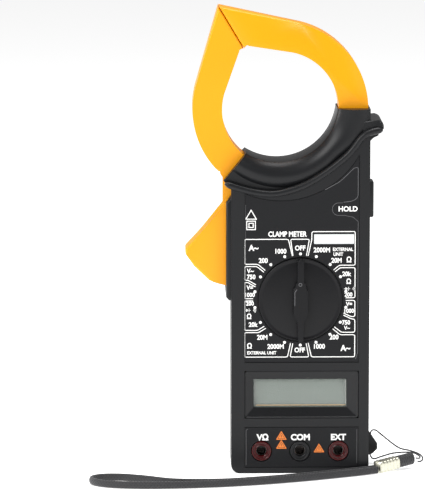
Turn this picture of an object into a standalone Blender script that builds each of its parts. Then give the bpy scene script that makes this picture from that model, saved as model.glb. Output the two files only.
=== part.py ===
"""Clamp meter that stands on its base: +Z up, front towards -Y, origin at the middle of the base."""

import math

import bmesh
import bpy
from mathutils import Matrix, Vector

MM = 0.001

# Body
BODY_WIDTH = 68 * MM
BODY_DEPTH = 33 * MM
BODY_CORNER = 4.5 * MM
FRONT_EDGE = 4.5 * MM
WALL = 2.0 * MM
SEAM_GAP = 0.3 * MM
SEAM_Y = 1.5 * MM
TOUCH = 0.3 * MM
RUNNING = 0.4 * MM
PIN_CLEARANCE = 0.15 * MM

# Jaws: a ring whose upper left is drawn out to a mitred tip
RING_X = -9.7 * MM
RING_Z = 180 * MM
RING_INNER = 28.6 * MM
RING_BAND = 14.5 * MM
JAW_THICK = 16 * MM
JAW_EDGE = 2.0 * MM
FIXED_SLOPE = 78
MOVING_SLOPE = 164
NOSE = 4.1 * MM
CORE_SIDE = 3.0 * MM
CORE_THICK = 9 * MM
FIXED_SHELL_END = -25
FIXED_CORE_END = -96
COIL_START = -34
COIL_END = -84
COIL_BUILD = 1.9 * MM
MOVING_END = 255
SWING_ROOM = 0.8 * MM

# Collar and hand guard
COLLAR_DEPTH = 30 * MM
COLLAR_WALL = 1.4 * MM
JAW_ROOM = 0.35 * MM
COLLAR_EDGE = 6 * MM
COLLAR_LEFT = -129
GUARD_RADIUS = 39.2 * MM
GUARD_WIDTH = 3.4 * MM
GUARD_RISE = 2.2 * MM
EAR_OUT = 7 * MM
EAR_HEIGHT = 8 * MM
EAR_Z = 172.5 * MM

# Trigger and its pivot
PIVOT_X = -27.8 * MM
PIVOT_Z = 137 * MM
PIN_RADIUS = 2.0 * MM
PIVOT_BOSS = 2.8 * MM
TRIGGER_OUT = 22.3 * MM
TRIGGER_TIP_Z = 110 * MM
TRIGGER_REACH = 45 * MM
TRIGGER_LIP = 2.5 * MM
SLOT_BOTTOM = 90.5 * MM

# Dial
DIAL_Z = 87 * MM
DIAL_RADIUS = 20.6 * MM
DIAL_PROUD = 0.7 * MM
DIAL_THICK = 3.0 * MM
BAR_WIDTH = 4 * MM
BAR_MIDDLE = 6.2 * MM
BAR_RISE = 3.3 * MM
DIAL_STEPS = 18
ROTOR_RADIUS = DIAL_RADIUS - 5.6 * MM
ROTOR_THICK = 2.4 * MM
DETENT_RADIUS = ROTOR_RADIUS + 2.6 * MM
BALL_RADIUS = 0.8 * MM
DIAL_FLOOR = 1.2 * MM

# Front panel
LABEL_RECESS = 0.8 * MM
LABEL_THICK = 0.3 * MM
LABEL_LEFT = -27.4 * MM
LABEL_RIGHT = 28.9 * MM
LABEL_BOTTOM = 55.5 * MM
LCD_LOW = 27.6 * MM
LCD_HIGH = 51.4 * MM
WINDOW_WIDTH = 46 * MM
WINDOW_LOW = 32.9 * MM
WINDOW_HIGH = 47.1 * MM
JACK_LOW = 2.9 * MM
JACK_HIGH = 23.4 * MM
JACK_Z = 11.2 * MM
JACK_SPACING = 19 * MM
JACK_RADIUS = 4.9 * MM
JACK_BORE = 2.6 * MM
SLEEVE_WALL = 0.5 * MM
JACK_LENGTH = 15 * MM

# Board, behind the dial
BOARD_FRONT = -9.9 * MM
BOARD_THICK = 1.2 * MM
BOARD_HALF_WIDTH = 29.5 * MM

# Hold button, in the right wall
HOLD_Z = 135 * MM
HOLD_LENGTH = 18 * MM
HOLD_WIDTH = 10 * MM
HOLD_PROUD = 2.5 * MM
HOLD_TRAVEL = 1.5 * MM
SWITCH_Y = -5.3 * MM

# Battery and its door
BATTERY = Vector((48.5, 16.8, 26.2)) * MM
BATTERY_X = 2.8 * MM
BATTERY_Z = 37.5 * MM
BATTERY_REAR = 13.9 * MM
SNAP_THICK = 3.2 * MM
BAY_WALL = 1.2 * MM
DOOR_THICK = 1.7 * MM
DOOR_LEDGE = 1.2 * MM
DOOR_TOP = 62 * MM
DOOR_SCREW_Z = 57.8 * MM

# Case screws, their heads at the rear
SCREW_X = BODY_WIDTH / 2 - 4.7 * MM
SCREWS = ((-SCREW_X, 7.5 * MM), (SCREW_X, 7.5 * MM), (SCREW_X - 2.7 * MM, 150.5 * MM), (1.3 * MM, 121.2 * MM))
SCREW_RADIUS = 1.2 * MM
HEAD_RADIUS = 2.3 * MM
BOSS_RADIUS = 3.1 * MM

# Strap lug and strap
LUG_OUT = 5.6 * MM
LUG_Z = 10.5 * MM
LUG_HEIGHT = 15 * MM
LUG_Y = 7 * MM
LUG_THICK = 6 * MM
EYE_RADIUS = 1.1 * MM
STRING_DIAMETER = 0.9 * MM
BRAID_DIAMETER = 2.6 * MM
CRIMP_LENGTH = 13 * MM
CRIMP_DEPTH = 6.0 * MM
CRIMP_HEIGHT = 5.8 * MM
TAIL_LENGTH = 8 * MM

FRONT = -BODY_DEPTH / 2
REAR = BODY_DEPTH / 2
RIGHT = BODY_WIDTH / 2
RING_OUTER = RING_INNER + RING_BAND
COLLAR_INNER = RING_INNER - COLLAR_WALL
COLLAR_OUTER = RING_OUTER + COLLAR_WALL
SIDES = 24
SMALL_SIDES = 14
ARC_STEP = 9
DETENT_BACK = BOARD_FRONT - 0.5 * MM
ROTOR_FRONT = FRONT + WALL + DIAL_FLOOR + TOUCH


def clear_scene():
    """Removes every object that the file opened with."""
    for item in list(bpy.data.objects):
        bpy.data.objects.remove(item, do_unlink=True)


def material(name, colour, roughness, metallic=0.0):
    """A Principled material."""
    made = bpy.data.materials.new(name)
    made.use_nodes = True
    shader = made.node_tree.nodes["Principled BSDF"]
    shader.inputs["Base Color"].default_value = (*colour, 1.0)
    shader.inputs["Roughness"].default_value = roughness
    shader.inputs["Metallic"].default_value = metallic
    return made


LOOKS = {
    "black": ((0.022, 0.023, 0.025), 0.42, 0.0),
    "dial": ((0.012, 0.012, 0.014), 0.5, 0.0),
    "yellow": ((0.93, 0.42, 0.005), 0.38, 0.0),
    "label": ((0.018, 0.019, 0.02), 0.5, 0.0),
    "glass": ((0.6, 0.65, 0.62), 0.08, 0.0),
    "display": ((0.22, 0.26, 0.23), 0.3, 0.0),
    "red": ((0.12, 0.004, 0.005), 0.3, 0.0),
    "steel": ((0.6, 0.6, 0.58), 0.3, 1.0),
    "brass": ((0.72, 0.52, 0.2), 0.3, 1.0),
    "iron": ((0.3, 0.3, 0.32), 0.45, 1.0),
    "copper": ((0.6, 0.25, 0.1), 0.35, 1.0),
    "board": ((0.02, 0.13, 0.05), 0.5, 0.0),
    "rubber": ((0.03, 0.03, 0.032), 0.8, 0.0),
    "braid": ((0.012, 0.012, 0.013), 0.75, 0.0),
    "cell": ((0.1, 0.11, 0.16), 0.35, 0.0),
    "red_wire": ((0.5, 0.02, 0.02), 0.5, 0.0),
}


def finish(item, name, look):
    """Names a piece, gives it its own material and shades it smooth."""
    item.name = name
    item.data.name = name
    item.data.materials.clear()
    item.data.materials.append(material(name, *LOOKS[look]))
    return item


def from_bmesh(mesh, name="tool"):
    """Links a new object that holds this bmesh."""
    bmesh.ops.recalc_face_normals(mesh, faces=mesh.faces)
    data = bpy.data.meshes.new(name)
    mesh.to_mesh(data)
    mesh.free()
    data.shade_smooth()
    data.set_sharp_from_angle(angle=math.radians(35))
    item = bpy.data.objects.new(name, data)
    bpy.context.collection.objects.link(item)
    return item


def arc(radius, start, end, centre=(RING_X, RING_Z), steps=None):
    """Points of an arc in the front view, from start to end in degrees."""
    count = steps or max(2, round(abs(end - start) / ARC_STEP))
    angles = [math.radians(start + (end - start) * i / count) for i in range(count + 1)]
    return [(centre[0] + radius * math.cos(a), centre[1] + radius * math.sin(a)) for a in angles]


def near_ring(edge):
    """Whether a rim's edge follows the ring, where another shape covers it."""
    middle = (edge.verts[0].co + edge.verts[1].co) / 2
    return math.hypot(middle.x - RING_X, middle.z - RING_Z) < GUARD_RADIUS + 4 * MM


def prism(outline, low, high, edge=0.0, edge_at="front", steps=2, sharp=None):
    """Extrudes a front-view outline along Y, and rounds the rim at its front, its rear or both.

    sharp tells which of the rim's edges stay square.
    """
    mesh = bmesh.new()
    rings = [[mesh.verts.new((x, y, z)) for x, z in outline] for y in (low, high)]
    caps = [mesh.faces.new(rings[0]), mesh.faces.new(rings[1][::-1])]
    for i in range(len(outline)):
        j = (i + 1) % len(outline)
        mesh.faces.new((rings[0][i], rings[1][i], rings[1][j], rings[0][j]))
    if edge:
        chosen = {"front": caps[:1], "rear": caps[1:], "both": caps}[edge_at]
        rim = {e for cap in chosen for e in cap.edges if not (sharp and sharp(e))}
        bmesh.ops.bevel(mesh, geom=list(rim), offset=edge, segments=steps, affect="EDGES", profile=0.5,
                        clamp_overlap=True)
    return from_bmesh(mesh)


def box(low, high, edge=0.0):
    """A box between two corners."""
    (x0, y0, z0), (x1, y1, z1) = low, high
    return prism([(x0, z0), (x1, z0), (x1, z1), (x0, z1)], y0, y1, edge, "both", 2)


def block(centre, size, edge=0.0):
    """A box of this size round a centre."""
    half = Vector(size) / 2
    return box(Vector(centre) - half, Vector(centre) + half, edge)


def turned(profile, sides=SIDES, tip=(0, 0, 0), along="Y"):
    """Turns (radius, height) points round an axis. The ends are closed, and height runs along the axis."""
    mesh = bmesh.new()
    rings = []
    for radius, height in profile:
        if radius < 1e-7:
            rings.append([mesh.verts.new((0, 0, height))])
            continue
        turn = [2 * math.pi * i / sides for i in range(sides)]
        rings.append([mesh.verts.new((radius * math.cos(a), radius * math.sin(a), height)) for a in turn])
    for lower, upper in zip(rings, rings[1:]):
        for i in range(sides):
            j = (i + 1) % sides
            corners = [lower[i % len(lower)], lower[j % len(lower)], upper[j % len(upper)], upper[i % len(upper)]]
            mesh.faces.new(list(dict.fromkeys(corners)))
    for ring in (rings[0], rings[-1]):
        if len(ring) > 1:
            mesh.faces.new(ring)
    turns = {"X": Matrix.Rotation(math.pi / 2, 4, "Y"), "Y": Matrix.Rotation(-math.pi / 2, 4, "X"), "Z": Matrix()}
    mesh.transform(Matrix.Translation(tip) @ turns[along])
    return from_bmesh(mesh)


def rod(centre, radius, low, high, sides=SIDES):
    """A cylinder along Y at (x, z), from low to high."""
    return turned([(radius, low), (radius, high)], sides, (centre[0], 0, centre[1]))


def combine(item, others, operation):
    """Adds one exact Boolean for each tool, and hides the tools as guides."""
    for other in others:
        modifier = item.modifiers.new(operation.lower(), "BOOLEAN")
        modifier.operation = operation
        modifier.solver = "EXACT"
        modifier.object = other
        other.hide_render = True
        other.display_type = "WIRE"
        other.name = f"guide_{item.name}"
    return item


def cut(item, *others):
    """Takes the tools out of an item."""
    return combine(item, others, "DIFFERENCE")


def add(item, *others):
    """Joins the tools to an item, as one body."""
    return combine(item, others, "UNION")


def tube(name, look, points, diameter, resolution=2):
    """A wire or cord along a smooth curve through its route's points."""
    curve = bpy.data.curves.new(name, "CURVE")
    curve.dimensions = "3D"
    curve.bevel_depth = diameter / 2
    curve.bevel_resolution = resolution
    curve.use_fill_caps = True
    spline = curve.splines.new("POLY")
    spline.points.add(len(points) - 1)
    for place, point in zip(spline.points, points):
        place.co = (*point, 1.0)
    item = bpy.data.objects.new(name, curve)
    bpy.context.collection.objects.link(item)
    return finish(item, name, look)


def smooth_route(points, spacing):
    """Reads a Catmull-Rom curve through the points, one point about every spacing."""
    points = [Vector(p) for p in points]
    ends = [points[0] * 2 - points[1], *points, points[-1] * 2 - points[-2]]
    out = [points[0]]
    for a, b, c, d in zip(ends, ends[1:], ends[2:], ends[3:]):
        steps = max(1, round((c - b).length / spacing))
        for i in range(1, steps + 1):
            t = i / steps
            out.append(0.5 * (2 * b + (c - a) * t + (2 * a - 5 * b + 4 * c - d) * t**2
                              + (3 * b - a - 3 * c + d) * t**3))
    return out


def band(inner, outer, start, end):
    """Outline of a stretch of ring."""
    return arc(inner, start, end) + arc(outer, end, start)


def ring_point(radius, angle):
    """A point of the ring in the front view, at an angle in degrees."""
    return arc(radius, angle, angle, steps=1)[0]


def tangent_corner(radius):
    """Where the two straight outer lines at this radius meet."""
    half = math.radians(MOVING_SLOPE - FIXED_SLOPE) / 2
    return ring_point(radius / math.cos(half), (MOVING_SLOPE + FIXED_SLOPE) / 2)


def along_line(start, end, distance):
    """The point this far from start towards end."""
    way = Vector(end) - Vector(start)
    return tuple(Vector(start) + way.normalized() * distance)


SEAM_ANGLE = (MOVING_SLOPE + FIXED_SLOPE) / 2


def seam_side(point, side):
    """Moves a point off the jaws' seam, by half the seam's gap."""
    across = math.radians(SEAM_ANGLE + 90 * side)
    return (point[0] + SEAM_GAP / 2 * math.cos(across), point[1] + SEAM_GAP / 2 * math.sin(across))


def jaw_tip(side, slope):
    """The mitred end of one jaw, from its outer line round to its inner line. side is 1 for the moving jaw."""
    outer = tangent_corner(RING_OUTER)
    inner = tangent_corner(RING_INNER)
    reach = math.hypot(inner[0] - RING_X, inner[1] - RING_Z)
    nose = ring_point(reach - NOSE, SEAM_ANGLE)
    shoulder = along_line(inner, ring_point(RING_INNER, slope), 1.1 * NOSE)
    return [seam_side(outer, side), seam_side(nose, side), shoulder]


def fixed_jaw_outline():
    """The right-hand jaw, from inside the collar round to the seam."""
    outer = arc(RING_OUTER, FIXED_SHELL_END, FIXED_SLOPE)
    inner = arc(RING_INNER, FIXED_SLOPE, FIXED_SHELL_END)
    return outer + jaw_tip(-1, FIXED_SLOPE) + inner


def about_pivot(radius, angle):
    """A point round the trigger's pivot."""
    return arc(radius, angle, angle, (PIVOT_X, PIVOT_Z), 1)[0]


def moving_jaw_outline():
    """The left-hand jaw with its lever and trigger, which pass the pivot on the left."""
    side = -RIGHT - TRIGGER_LIP
    tip_x = -RIGHT - TRIGGER_OUT
    inner = arc(RING_INNER, MOVING_END, MOVING_SLOPE)
    head = jaw_tip(1, MOVING_SLOPE)[::-1]
    outer = arc(RING_OUTER, MOVING_SLOPE, 225)
    neck = [(side - 2.0 * MM, PIVOT_Z + 12.5 * MM), (side, PIVOT_Z + 9 * MM)]
    trigger = [(side, TRIGGER_TIP_Z + 22 * MM), (tip_x, TRIGGER_TIP_Z + 1.0 * MM), (tip_x, TRIGGER_TIP_Z - 1.4 * MM)]
    foot = [(tip_x + 4.2 * MM, TRIGGER_TIP_Z - 7.6 * MM)]
    sweep = arc(TRIGGER_REACH, 248, 272, (PIVOT_X, PIVOT_Z), 4)
    inside = [about_pivot(20 * MM, -64), about_pivot(8.5 * MM, -30), ring_point(RING_OUTER, MOVING_END)]
    return inner + head + outer + neck + trigger + foot + sweep + inside


def fixed_core_outline(grow=0.0):
    """The fixed laminated core, or the space round it."""
    low, high = RING_INNER + CORE_SIDE - grow, RING_OUTER - CORE_SIDE + grow
    return core_outline(low, high, FIXED_CORE_END, FIXED_SLOPE, -1)


def moving_core_outline(grow=0.0):
    """The moving laminated core, or the space round it."""
    low, high = RING_INNER + CORE_SIDE - grow, RING_OUTER - CORE_SIDE + grow
    return core_outline(low, high, MOVING_END, MOVING_SLOPE, 1)


def core_outline(low, high, start, slope, side):
    """A core of even width, from one end on the ring to the jaws' seam."""
    tip = [seam_side(tangent_corner(high), side), seam_side(tangent_corner(low), side)]
    return arc(high, start, slope) + tip + arc(low, slope, start)


def case_corner(side):
    """One rounded bottom corner of the case. side is -1 for the left."""
    centre = (side * (RIGHT - BODY_CORNER), BODY_CORNER)
    return arc(BODY_CORNER, 225 + 45 * side, 315 + 45 * side, centre, 4)


def body_outline():
    """The case below the collar: its straight sides, and the arc that the hand guard follows."""
    top = [(RIGHT, RING_Z - 2 * MM)]
    return case_corner(-1) + case_corner(1) + top + arc(GUARD_RADIUS - GUARD_WIDTH * 0.4, -4.5, -134) + [(-RIGHT, PIVOT_Z + 7 * MM)]


def collar_outline():
    """The collar from the front: a ring band whose right end is squared off at the case's side."""
    right_top = RING_Z + 0.6 * MM
    inner = arc(COLLAR_INNER, COLLAR_LEFT, -1.5)
    outer = arc(COLLAR_OUTER, -62, COLLAR_LEFT)
    side = RIGHT + 0.25 * MM
    return inner + [(side, right_top), (side, RING_Z - 34 * MM)] + outer


def case_cavity_outline():
    """The hollow inside the case and the collar."""
    inside = RIGHT - WALL
    corner = BODY_CORNER
    floor = [(-inside, corner), (-inside + 2 * MM, WALL), (inside - 2 * MM, WALL), (inside, corner)]
    top = [(inside, RING_Z - 5.3 * MM)]
    left = [(-inside, PIVOT_Z + 6 * MM)]
    return floor + top + arc(RING_INNER - JAW_ROOM, -10.4, COLLAR_LEFT + 5.2) + left


def flip(item):
    """Turns a front piece into its rear twin, by mirroring its own mesh through Y = 0."""
    item.data.transform(Matrix.Scale(-1, 4, (0, 1, 0)))
    item.data.flip_normals()
    return item


def half_case(front):
    """One shell of the case with everything that both shells have."""
    collar_half = COLLAR_DEPTH / 2
    side = 1 if front else -1
    seam = side * SEAM_Y - SEAM_GAP / 2

    def place(item):
        return item if front else flip(item)

    past = 3 * MM
    shell = place(prism(body_outline(), FRONT, past, FRONT_EDGE, steps=3, sharp=near_ring))
    collar = place(prism(collar_outline(), -collar_half, 0.9 * past, COLLAR_EDGE, steps=3))
    guard = place(prism(band(GUARD_RADIUS - GUARD_WIDTH, GUARD_RADIUS, -21, COLLAR_LEFT + 1.3),
                        FRONT - GUARD_RISE / 2, FRONT / 2))
    ear = place(prism(ear_outline(), FRONT * 0.94, 0.8 * past, 1.2 * MM))
    lip = place(prism(lip_outline(), FRONT * 0.8, 0.7 * past, 1.2 * MM))
    add(shell, collar, guard, ear, lip)

    cavity = place(prism(case_cavity_outline(), FRONT + WALL, 2 * past))
    mouth = JAW_THICK / 2 + RUNNING
    right_mouth = place(prism(band(RING_INNER - JAW_ROOM, RING_OUTER + JAW_ROOM, -20, 6), -mouth, 2.1 * past))
    left_mouth = place(prism(band(RING_INNER - JAW_ROOM, RING_OUTER + 8 * MM, COLLAR_LEFT + 8, COLLAR_LEFT - 16),
                             -mouth - 0.1 * MM, 2.2 * past))
    slot = place(box((-RIGHT - 8 * MM, -mouth - 0.2 * MM, SLOT_BOTTOM),
                     (-RIGHT + 4 * MM, 2.3 * past, PIVOT_Z + 15 * MM)))
    cut(shell, cavity, right_mouth, left_mouth, slot)

    wall = FRONT + WALL / 2
    boss_end = -JAW_THICK / 2 - 2 * RUNNING
    boss = place(rod((PIVOT_X, PIVOT_Z), PIVOT_BOSS, wall, boss_end))
    pin_hole = place(rod((PIVOT_X, PIVOT_Z), PIN_RADIUS + PIN_CLEARANCE, FRONT + WALL * 0.9, 0))
    add(shell, boss)
    for x, z in SCREWS:
        add(shell, place(rod((x, z), BOSS_RADIUS, wall, 1.1 * past, SMALL_SIDES)))
    cut(shell, pin_hole)
    for x, z in SCREWS:
        screw_hole(shell, x, z, side)
    beyond = place(box((-2 * BODY_WIDTH, seam, -BODY_WIDTH), (2 * BODY_WIDTH, 4 * past, 5 * BODY_WIDTH)))
    cut(shell, beyond)
    return shell


def screw_hole(shell, x, z, side):
    """The hole for one case screw: blind in the front shell, and stepped for the head in the rear one."""
    radius = SCREW_RADIUS + PIN_CLEARANCE
    if side > 0:
        cut(shell, rod((x, z), radius, FRONT + WALL, REAR, SMALL_SIDES))
    else:
        head = rod((x, z), HEAD_RADIUS + TOUCH, REAR - 3 * MM, REAR + 5 * MM, SMALL_SIDES + 2)
        cut(shell, rod((x, z), radius + TOUCH, FRONT, REAR + 1 * MM, SMALL_SIDES), head)


def ear_outline():
    """The stop for the hand at the right end of the guard."""
    low, high = EAR_Z - EAR_HEIGHT / 2, EAR_Z + EAR_HEIGHT / 2
    out = RIGHT + EAR_OUT
    nose = EAR_HEIGHT * 0.42
    tip = arc(nose, -90, 90, (out - nose, high - nose), 8)
    return [(RIGHT - 4 * MM, low - 6 * MM), (RIGHT, low - 3 * MM)] + tip + [(RIGHT - 4 * MM, high)]


def lip_outline():
    """The rim beside the trigger's slot, a little proud of the case's left side."""
    out = -RIGHT - TRIGGER_LIP
    low, high = SLOT_BOTTOM - 4.5 * MM, PIVOT_Z + 5.5 * MM
    return [(-RIGHT + 3 * MM, low), (-RIGHT - 1 * MM, low), (out + 0.8 * MM, low + 1.5 * MM),
            (out + 0.8 * MM, high - 8 * MM), (-RIGHT + 3 * MM, high)]


def label_outline(inset=0.0):
    """The recess round the dial: square below, and following the hand guard above."""
    left, right = LABEL_LEFT + inset, LABEL_RIGHT - inset
    radius = GUARD_RADIUS + 4.6 * MM + inset
    start = -math.degrees(math.acos((right - RING_X) / radius))
    end = -180 + math.degrees(math.acos((RING_X - left) / radius))
    return [(left, LABEL_BOTTOM + inset), (right, LABEL_BOTTOM + inset)] + arc(radius, start, end)


def detent_ring():
    """The ring round the rotor, with one notch for each stop."""
    step = 360 / DIAL_STEPS
    notch = BALL_RADIUS * 0.55
    points = []
    for i in range(DIAL_STEPS):
        for share, depth in ((-0.5, 0), (-0.2, 0), (0, notch), (0.2, 0)):
            angle = math.radians(90 + (i + share) * step)
            radius = DETENT_RADIUS + depth
            points.append((radius * math.cos(angle), DIAL_Z + radius * math.sin(angle)))
    ring = rod((0, DIAL_Z), DETENT_RADIUS + 2 * MM, FRONT + WALL, DETENT_BACK, 36)
    return ring, prism(points, FRONT + WALL + DIAL_FLOOR - 0.05 * MM, DETENT_BACK + 1 * MM)


def front_case():
    """The front shell: recesses, dial hole, display and jack openings, and its share of the collar."""
    shell = half_case(True)
    floor = FRONT + LABEL_RECESS
    panel = prism(label_outline(), FRONT - 1 * MM, floor)
    display = box((LABEL_LEFT, FRONT - 1 * MM, LCD_LOW), (LABEL_RIGHT, floor, LCD_HIGH))
    view = block((0, FRONT, (WINDOW_LOW + WINDOW_HIGH) / 2),
                 (WINDOW_WIDTH + 6 * MM, 6 * MM, WINDOW_HIGH - WINDOW_LOW + 4.4 * MM))
    jacks = box((LABEL_LEFT, FRONT - 1 * MM, JACK_LOW), (LABEL_RIGHT, floor - 0.2 * MM, JACK_HIGH))
    dial_hole = rod((0, DIAL_Z), DIAL_RADIUS + RUNNING, FRONT - 1 * MM, FRONT + DIAL_THICK - DIAL_PROUD, 48)
    hub_hole = rod((0, DIAL_Z), 7 * MM, FRONT - 1 * MM, 0)
    ring, notches = detent_ring()
    backing = rod((0, DIAL_Z), DIAL_RADIUS + 2 * MM, FRONT + 1 * MM, FRONT + WALL + DIAL_FLOOR, 36)
    add(shell, backing, ring)
    cut(shell, notches, panel, display, view, jacks, dial_hole, hub_hole)
    for i in (-1, 0, 1):
        cut(shell, rod((i * JACK_SPACING, JACK_Z), JACK_RADIUS + TOUCH, FRONT - 1 * MM, 0, SIDES))
    cut(shell, hold_hole())
    return finish(shell, "front_case", "black")


def hold_hole():
    """The opening for the hold button in the right wall."""
    size = (8 * MM, HOLD_WIDTH + 2 * TOUCH, HOLD_LENGTH + 2 * TOUCH)
    return block((RIGHT, 0, HOLD_Z), size)


def rear_case():
    """The rear shell: battery bay, strap lug and its share of the collar."""
    shell = half_case(False)
    bay_low, bay_high = bay_corners(BAY_WALL)
    add(shell, box(bay_low, (bay_high[0], REAR - WALL / 2, bay_high[2])))
    boss_x = BATTERY_X
    ledge = prism(door_outline(1.5 * MM), REAR - WALL - DOOR_LEDGE, REAR - WALL / 2)
    add(shell, ledge, rod((boss_x, DOOR_SCREW_Z), BOSS_RADIUS, 4 * MM, REAR - WALL / 2, SMALL_SIDES))
    inner_low, inner_high = bay_corners(0)
    cut(shell, box(inner_low, (inner_high[0], REAR + 1 * MM, inner_high[2])))
    cut(shell, door_space(), rod((boss_x, DOOR_SCREW_Z), SCREW_RADIUS + PIN_CLEARANCE, 6 * MM, REAR, SMALL_SIDES))
    lead_hole = block((inner_low[0] + 2.2 * MM, bay_low[1], BATTERY_Z), (2.4 * MM, 6 * MM, 8 * MM))
    cut(shell, lead_hole, hold_hole())
    lug = prism(lug_outline(), LUG_Y - LUG_THICK / 2, LUG_Y + LUG_THICK / 2, 0.8 * MM, "both", 2)
    eye = turned([(EYE_RADIUS, -20 * MM), (EYE_RADIUS, 20 * MM)], 16, (eye_x(), LUG_Y, LUG_Z), "Z")
    inside = block((0, LUG_Y, LUG_Z), (2 * (RIGHT - WALL / 2), 2 * LUG_THICK, 2 * LUG_HEIGHT))
    cut(lug, inside)
    add(shell, lug)
    cut(shell, eye)
    return finish(shell, "rear_case", "black")


def eye_x():
    """Where the eye for the strap's string runs, just outside the case's side."""
    return RIGHT + 0.9 * MM + EYE_RADIUS


def lug_outline():
    """The strap lug from the front."""
    out = RIGHT + LUG_OUT
    low, high = LUG_Z - LUG_HEIGHT * 0.45, LUG_Z + LUG_HEIGHT * 0.55
    return [(RIGHT - 1.5 * MM, low), (out - 2.4 * MM, low + 1.6 * MM), (out, low + 4 * MM), (out, low + 6.5 * MM),
            (RIGHT - 1.5 * MM, high + 2 * MM)]


def bay_corners(wall):
    """The battery bay's corners, with this much wall outside the room for the battery and its snap."""
    room = 0.6 * MM
    left = BATTERY_X - BATTERY.x / 2 - SNAP_THICK - 2 * room
    right = BATTERY_X + BATTERY.x / 2 + room
    floor = BATTERY_REAR - BATTERY.y - room
    low, high = BATTERY_Z - BATTERY.z / 2 - room, BATTERY_Z + BATTERY.z / 2 + room
    return (left - wall, floor - wall, low - wall), (right + wall, REAR, high + wall)


def door_outline(grow):
    """The battery door from behind, or the space round it."""
    low, high = bay_corners(0)
    bottom = low[2] - 2.2 * MM
    return [(low[0] - 0.8 * MM - grow, bottom - grow), (high[0] + 0.8 * MM + grow, bottom - grow),
            (high[0] + 0.8 * MM + grow, high[2] + 1.5 * MM + grow),
            (BATTERY_X + 6 * MM + grow, high[2] + 1.5 * MM + grow),
            (BATTERY_X + 4 * MM + grow, DOOR_TOP + grow), (BATTERY_X - 4 * MM - grow, DOOR_TOP + grow),
            (BATTERY_X - 6 * MM - grow, high[2] + 1.5 * MM + grow),
            (low[0] - 0.8 * MM - grow, high[2] + 1.5 * MM + grow)]


def door_space():
    """The step in the rear shell that the door lies in."""
    return prism(door_outline(TOUCH), REAR - DOOR_THICK - TOUCH, REAR + 1 * MM)


def battery_door():
    """The door with its screw's hole and finger ridges."""
    door = prism(door_outline(0), REAR - DOOR_THICK, REAR, 0.3 * MM, "rear", 1)
    low = bay_corners(0)[0][2]
    ridges = [block((BATTERY_X, REAR, low + (1 + 2 * i) * MM), (16 * MM, 0.8 * MM, 0.9 * MM)) for i in range(4)]
    add(door, *ridges)
    hole = rod((BATTERY_X, DOOR_SCREW_Z), SCREW_RADIUS + TOUCH, 0, REAR + 1 * MM, SMALL_SIDES)
    head = rod((BATTERY_X, DOOR_SCREW_Z), HEAD_RADIUS + TOUCH, REAR - 0.7 * MM, REAR + 1 * MM, SMALL_SIDES)
    cut(door, hole, head)
    return finish(door, "battery_door", "black")


def screw(name, x, z, head_back, length, look="steel"):
    """A cross-head screw driven from the rear."""
    head = 0.9 * MM
    profile = [(0, head_back - length), (SCREW_RADIUS * 0.4, head_back - length),
               (SCREW_RADIUS, head_back - length + 1 * MM), (SCREW_RADIUS, head_back - head),
               (HEAD_RADIUS, head_back - head), (HEAD_RADIUS, head_back - head * 0.4),
               (HEAD_RADIUS * 0.75, head_back), (0, head_back)]
    made = turned(profile, SMALL_SIDES, (x, 0, z))
    for size in ((2.4, 1.0, 0.5), (0.5, 1.0, 2.4)):
        cut(made, block((x, head_back, z), Vector(size) * MM))
    return finish(made, name, look)


def fasteners():
    """The four case screws and the battery door's own."""
    for number, (x, z) in enumerate(SCREWS, 1):
        screw(f"case_screw_{number}", x, z, REAR - 3 * MM + 0.9 * MM + TOUCH, 22 * MM)
    screw("battery_door_screw", BATTERY_X, DOOR_SCREW_Z, REAR + 0.35 * MM, 9 * MM)


def core_body(name, outline):
    """One laminated core."""
    return finish(prism(outline, -CORE_THICK / 2, CORE_THICK / 2), name, "iron")


def fixed_jaw():
    """The right-hand jaw: two shells, the core and its winding."""
    half = JAW_THICK / 2
    hollow = CORE_THICK / 2 + TOUCH
    for name, low, high, rim in (("fixed_jaw_front_shell", -half, -SEAM_GAP / 2, "front"),
                                 ("fixed_jaw_rear_shell", SEAM_GAP / 2, half, "rear")):
        shell = prism(fixed_jaw_outline(), low, high, JAW_EDGE, rim)
        cut(shell, prism(fixed_core_outline(TOUCH), -hollow, hollow))
        finish(shell, name, "yellow")
    core_body("fixed_jaw_core", fixed_core_outline())
    low = RING_INNER + CORE_SIDE - COIL_BUILD - TOUCH
    high = RING_OUTER - CORE_SIDE + COIL_BUILD + TOUCH
    deep = hollow + COIL_BUILD
    coil = prism(band(low, high, COIL_END, COIL_START), -deep, deep)
    inner = band(RING_INNER + CORE_SIDE - TOUCH, RING_OUTER - CORE_SIDE + TOUCH, COIL_END - 9, COIL_START + 9)
    cut(coil, prism(inner, -hollow, hollow))
    finish(coil, "fixed_jaw_coil", "copper")


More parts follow.
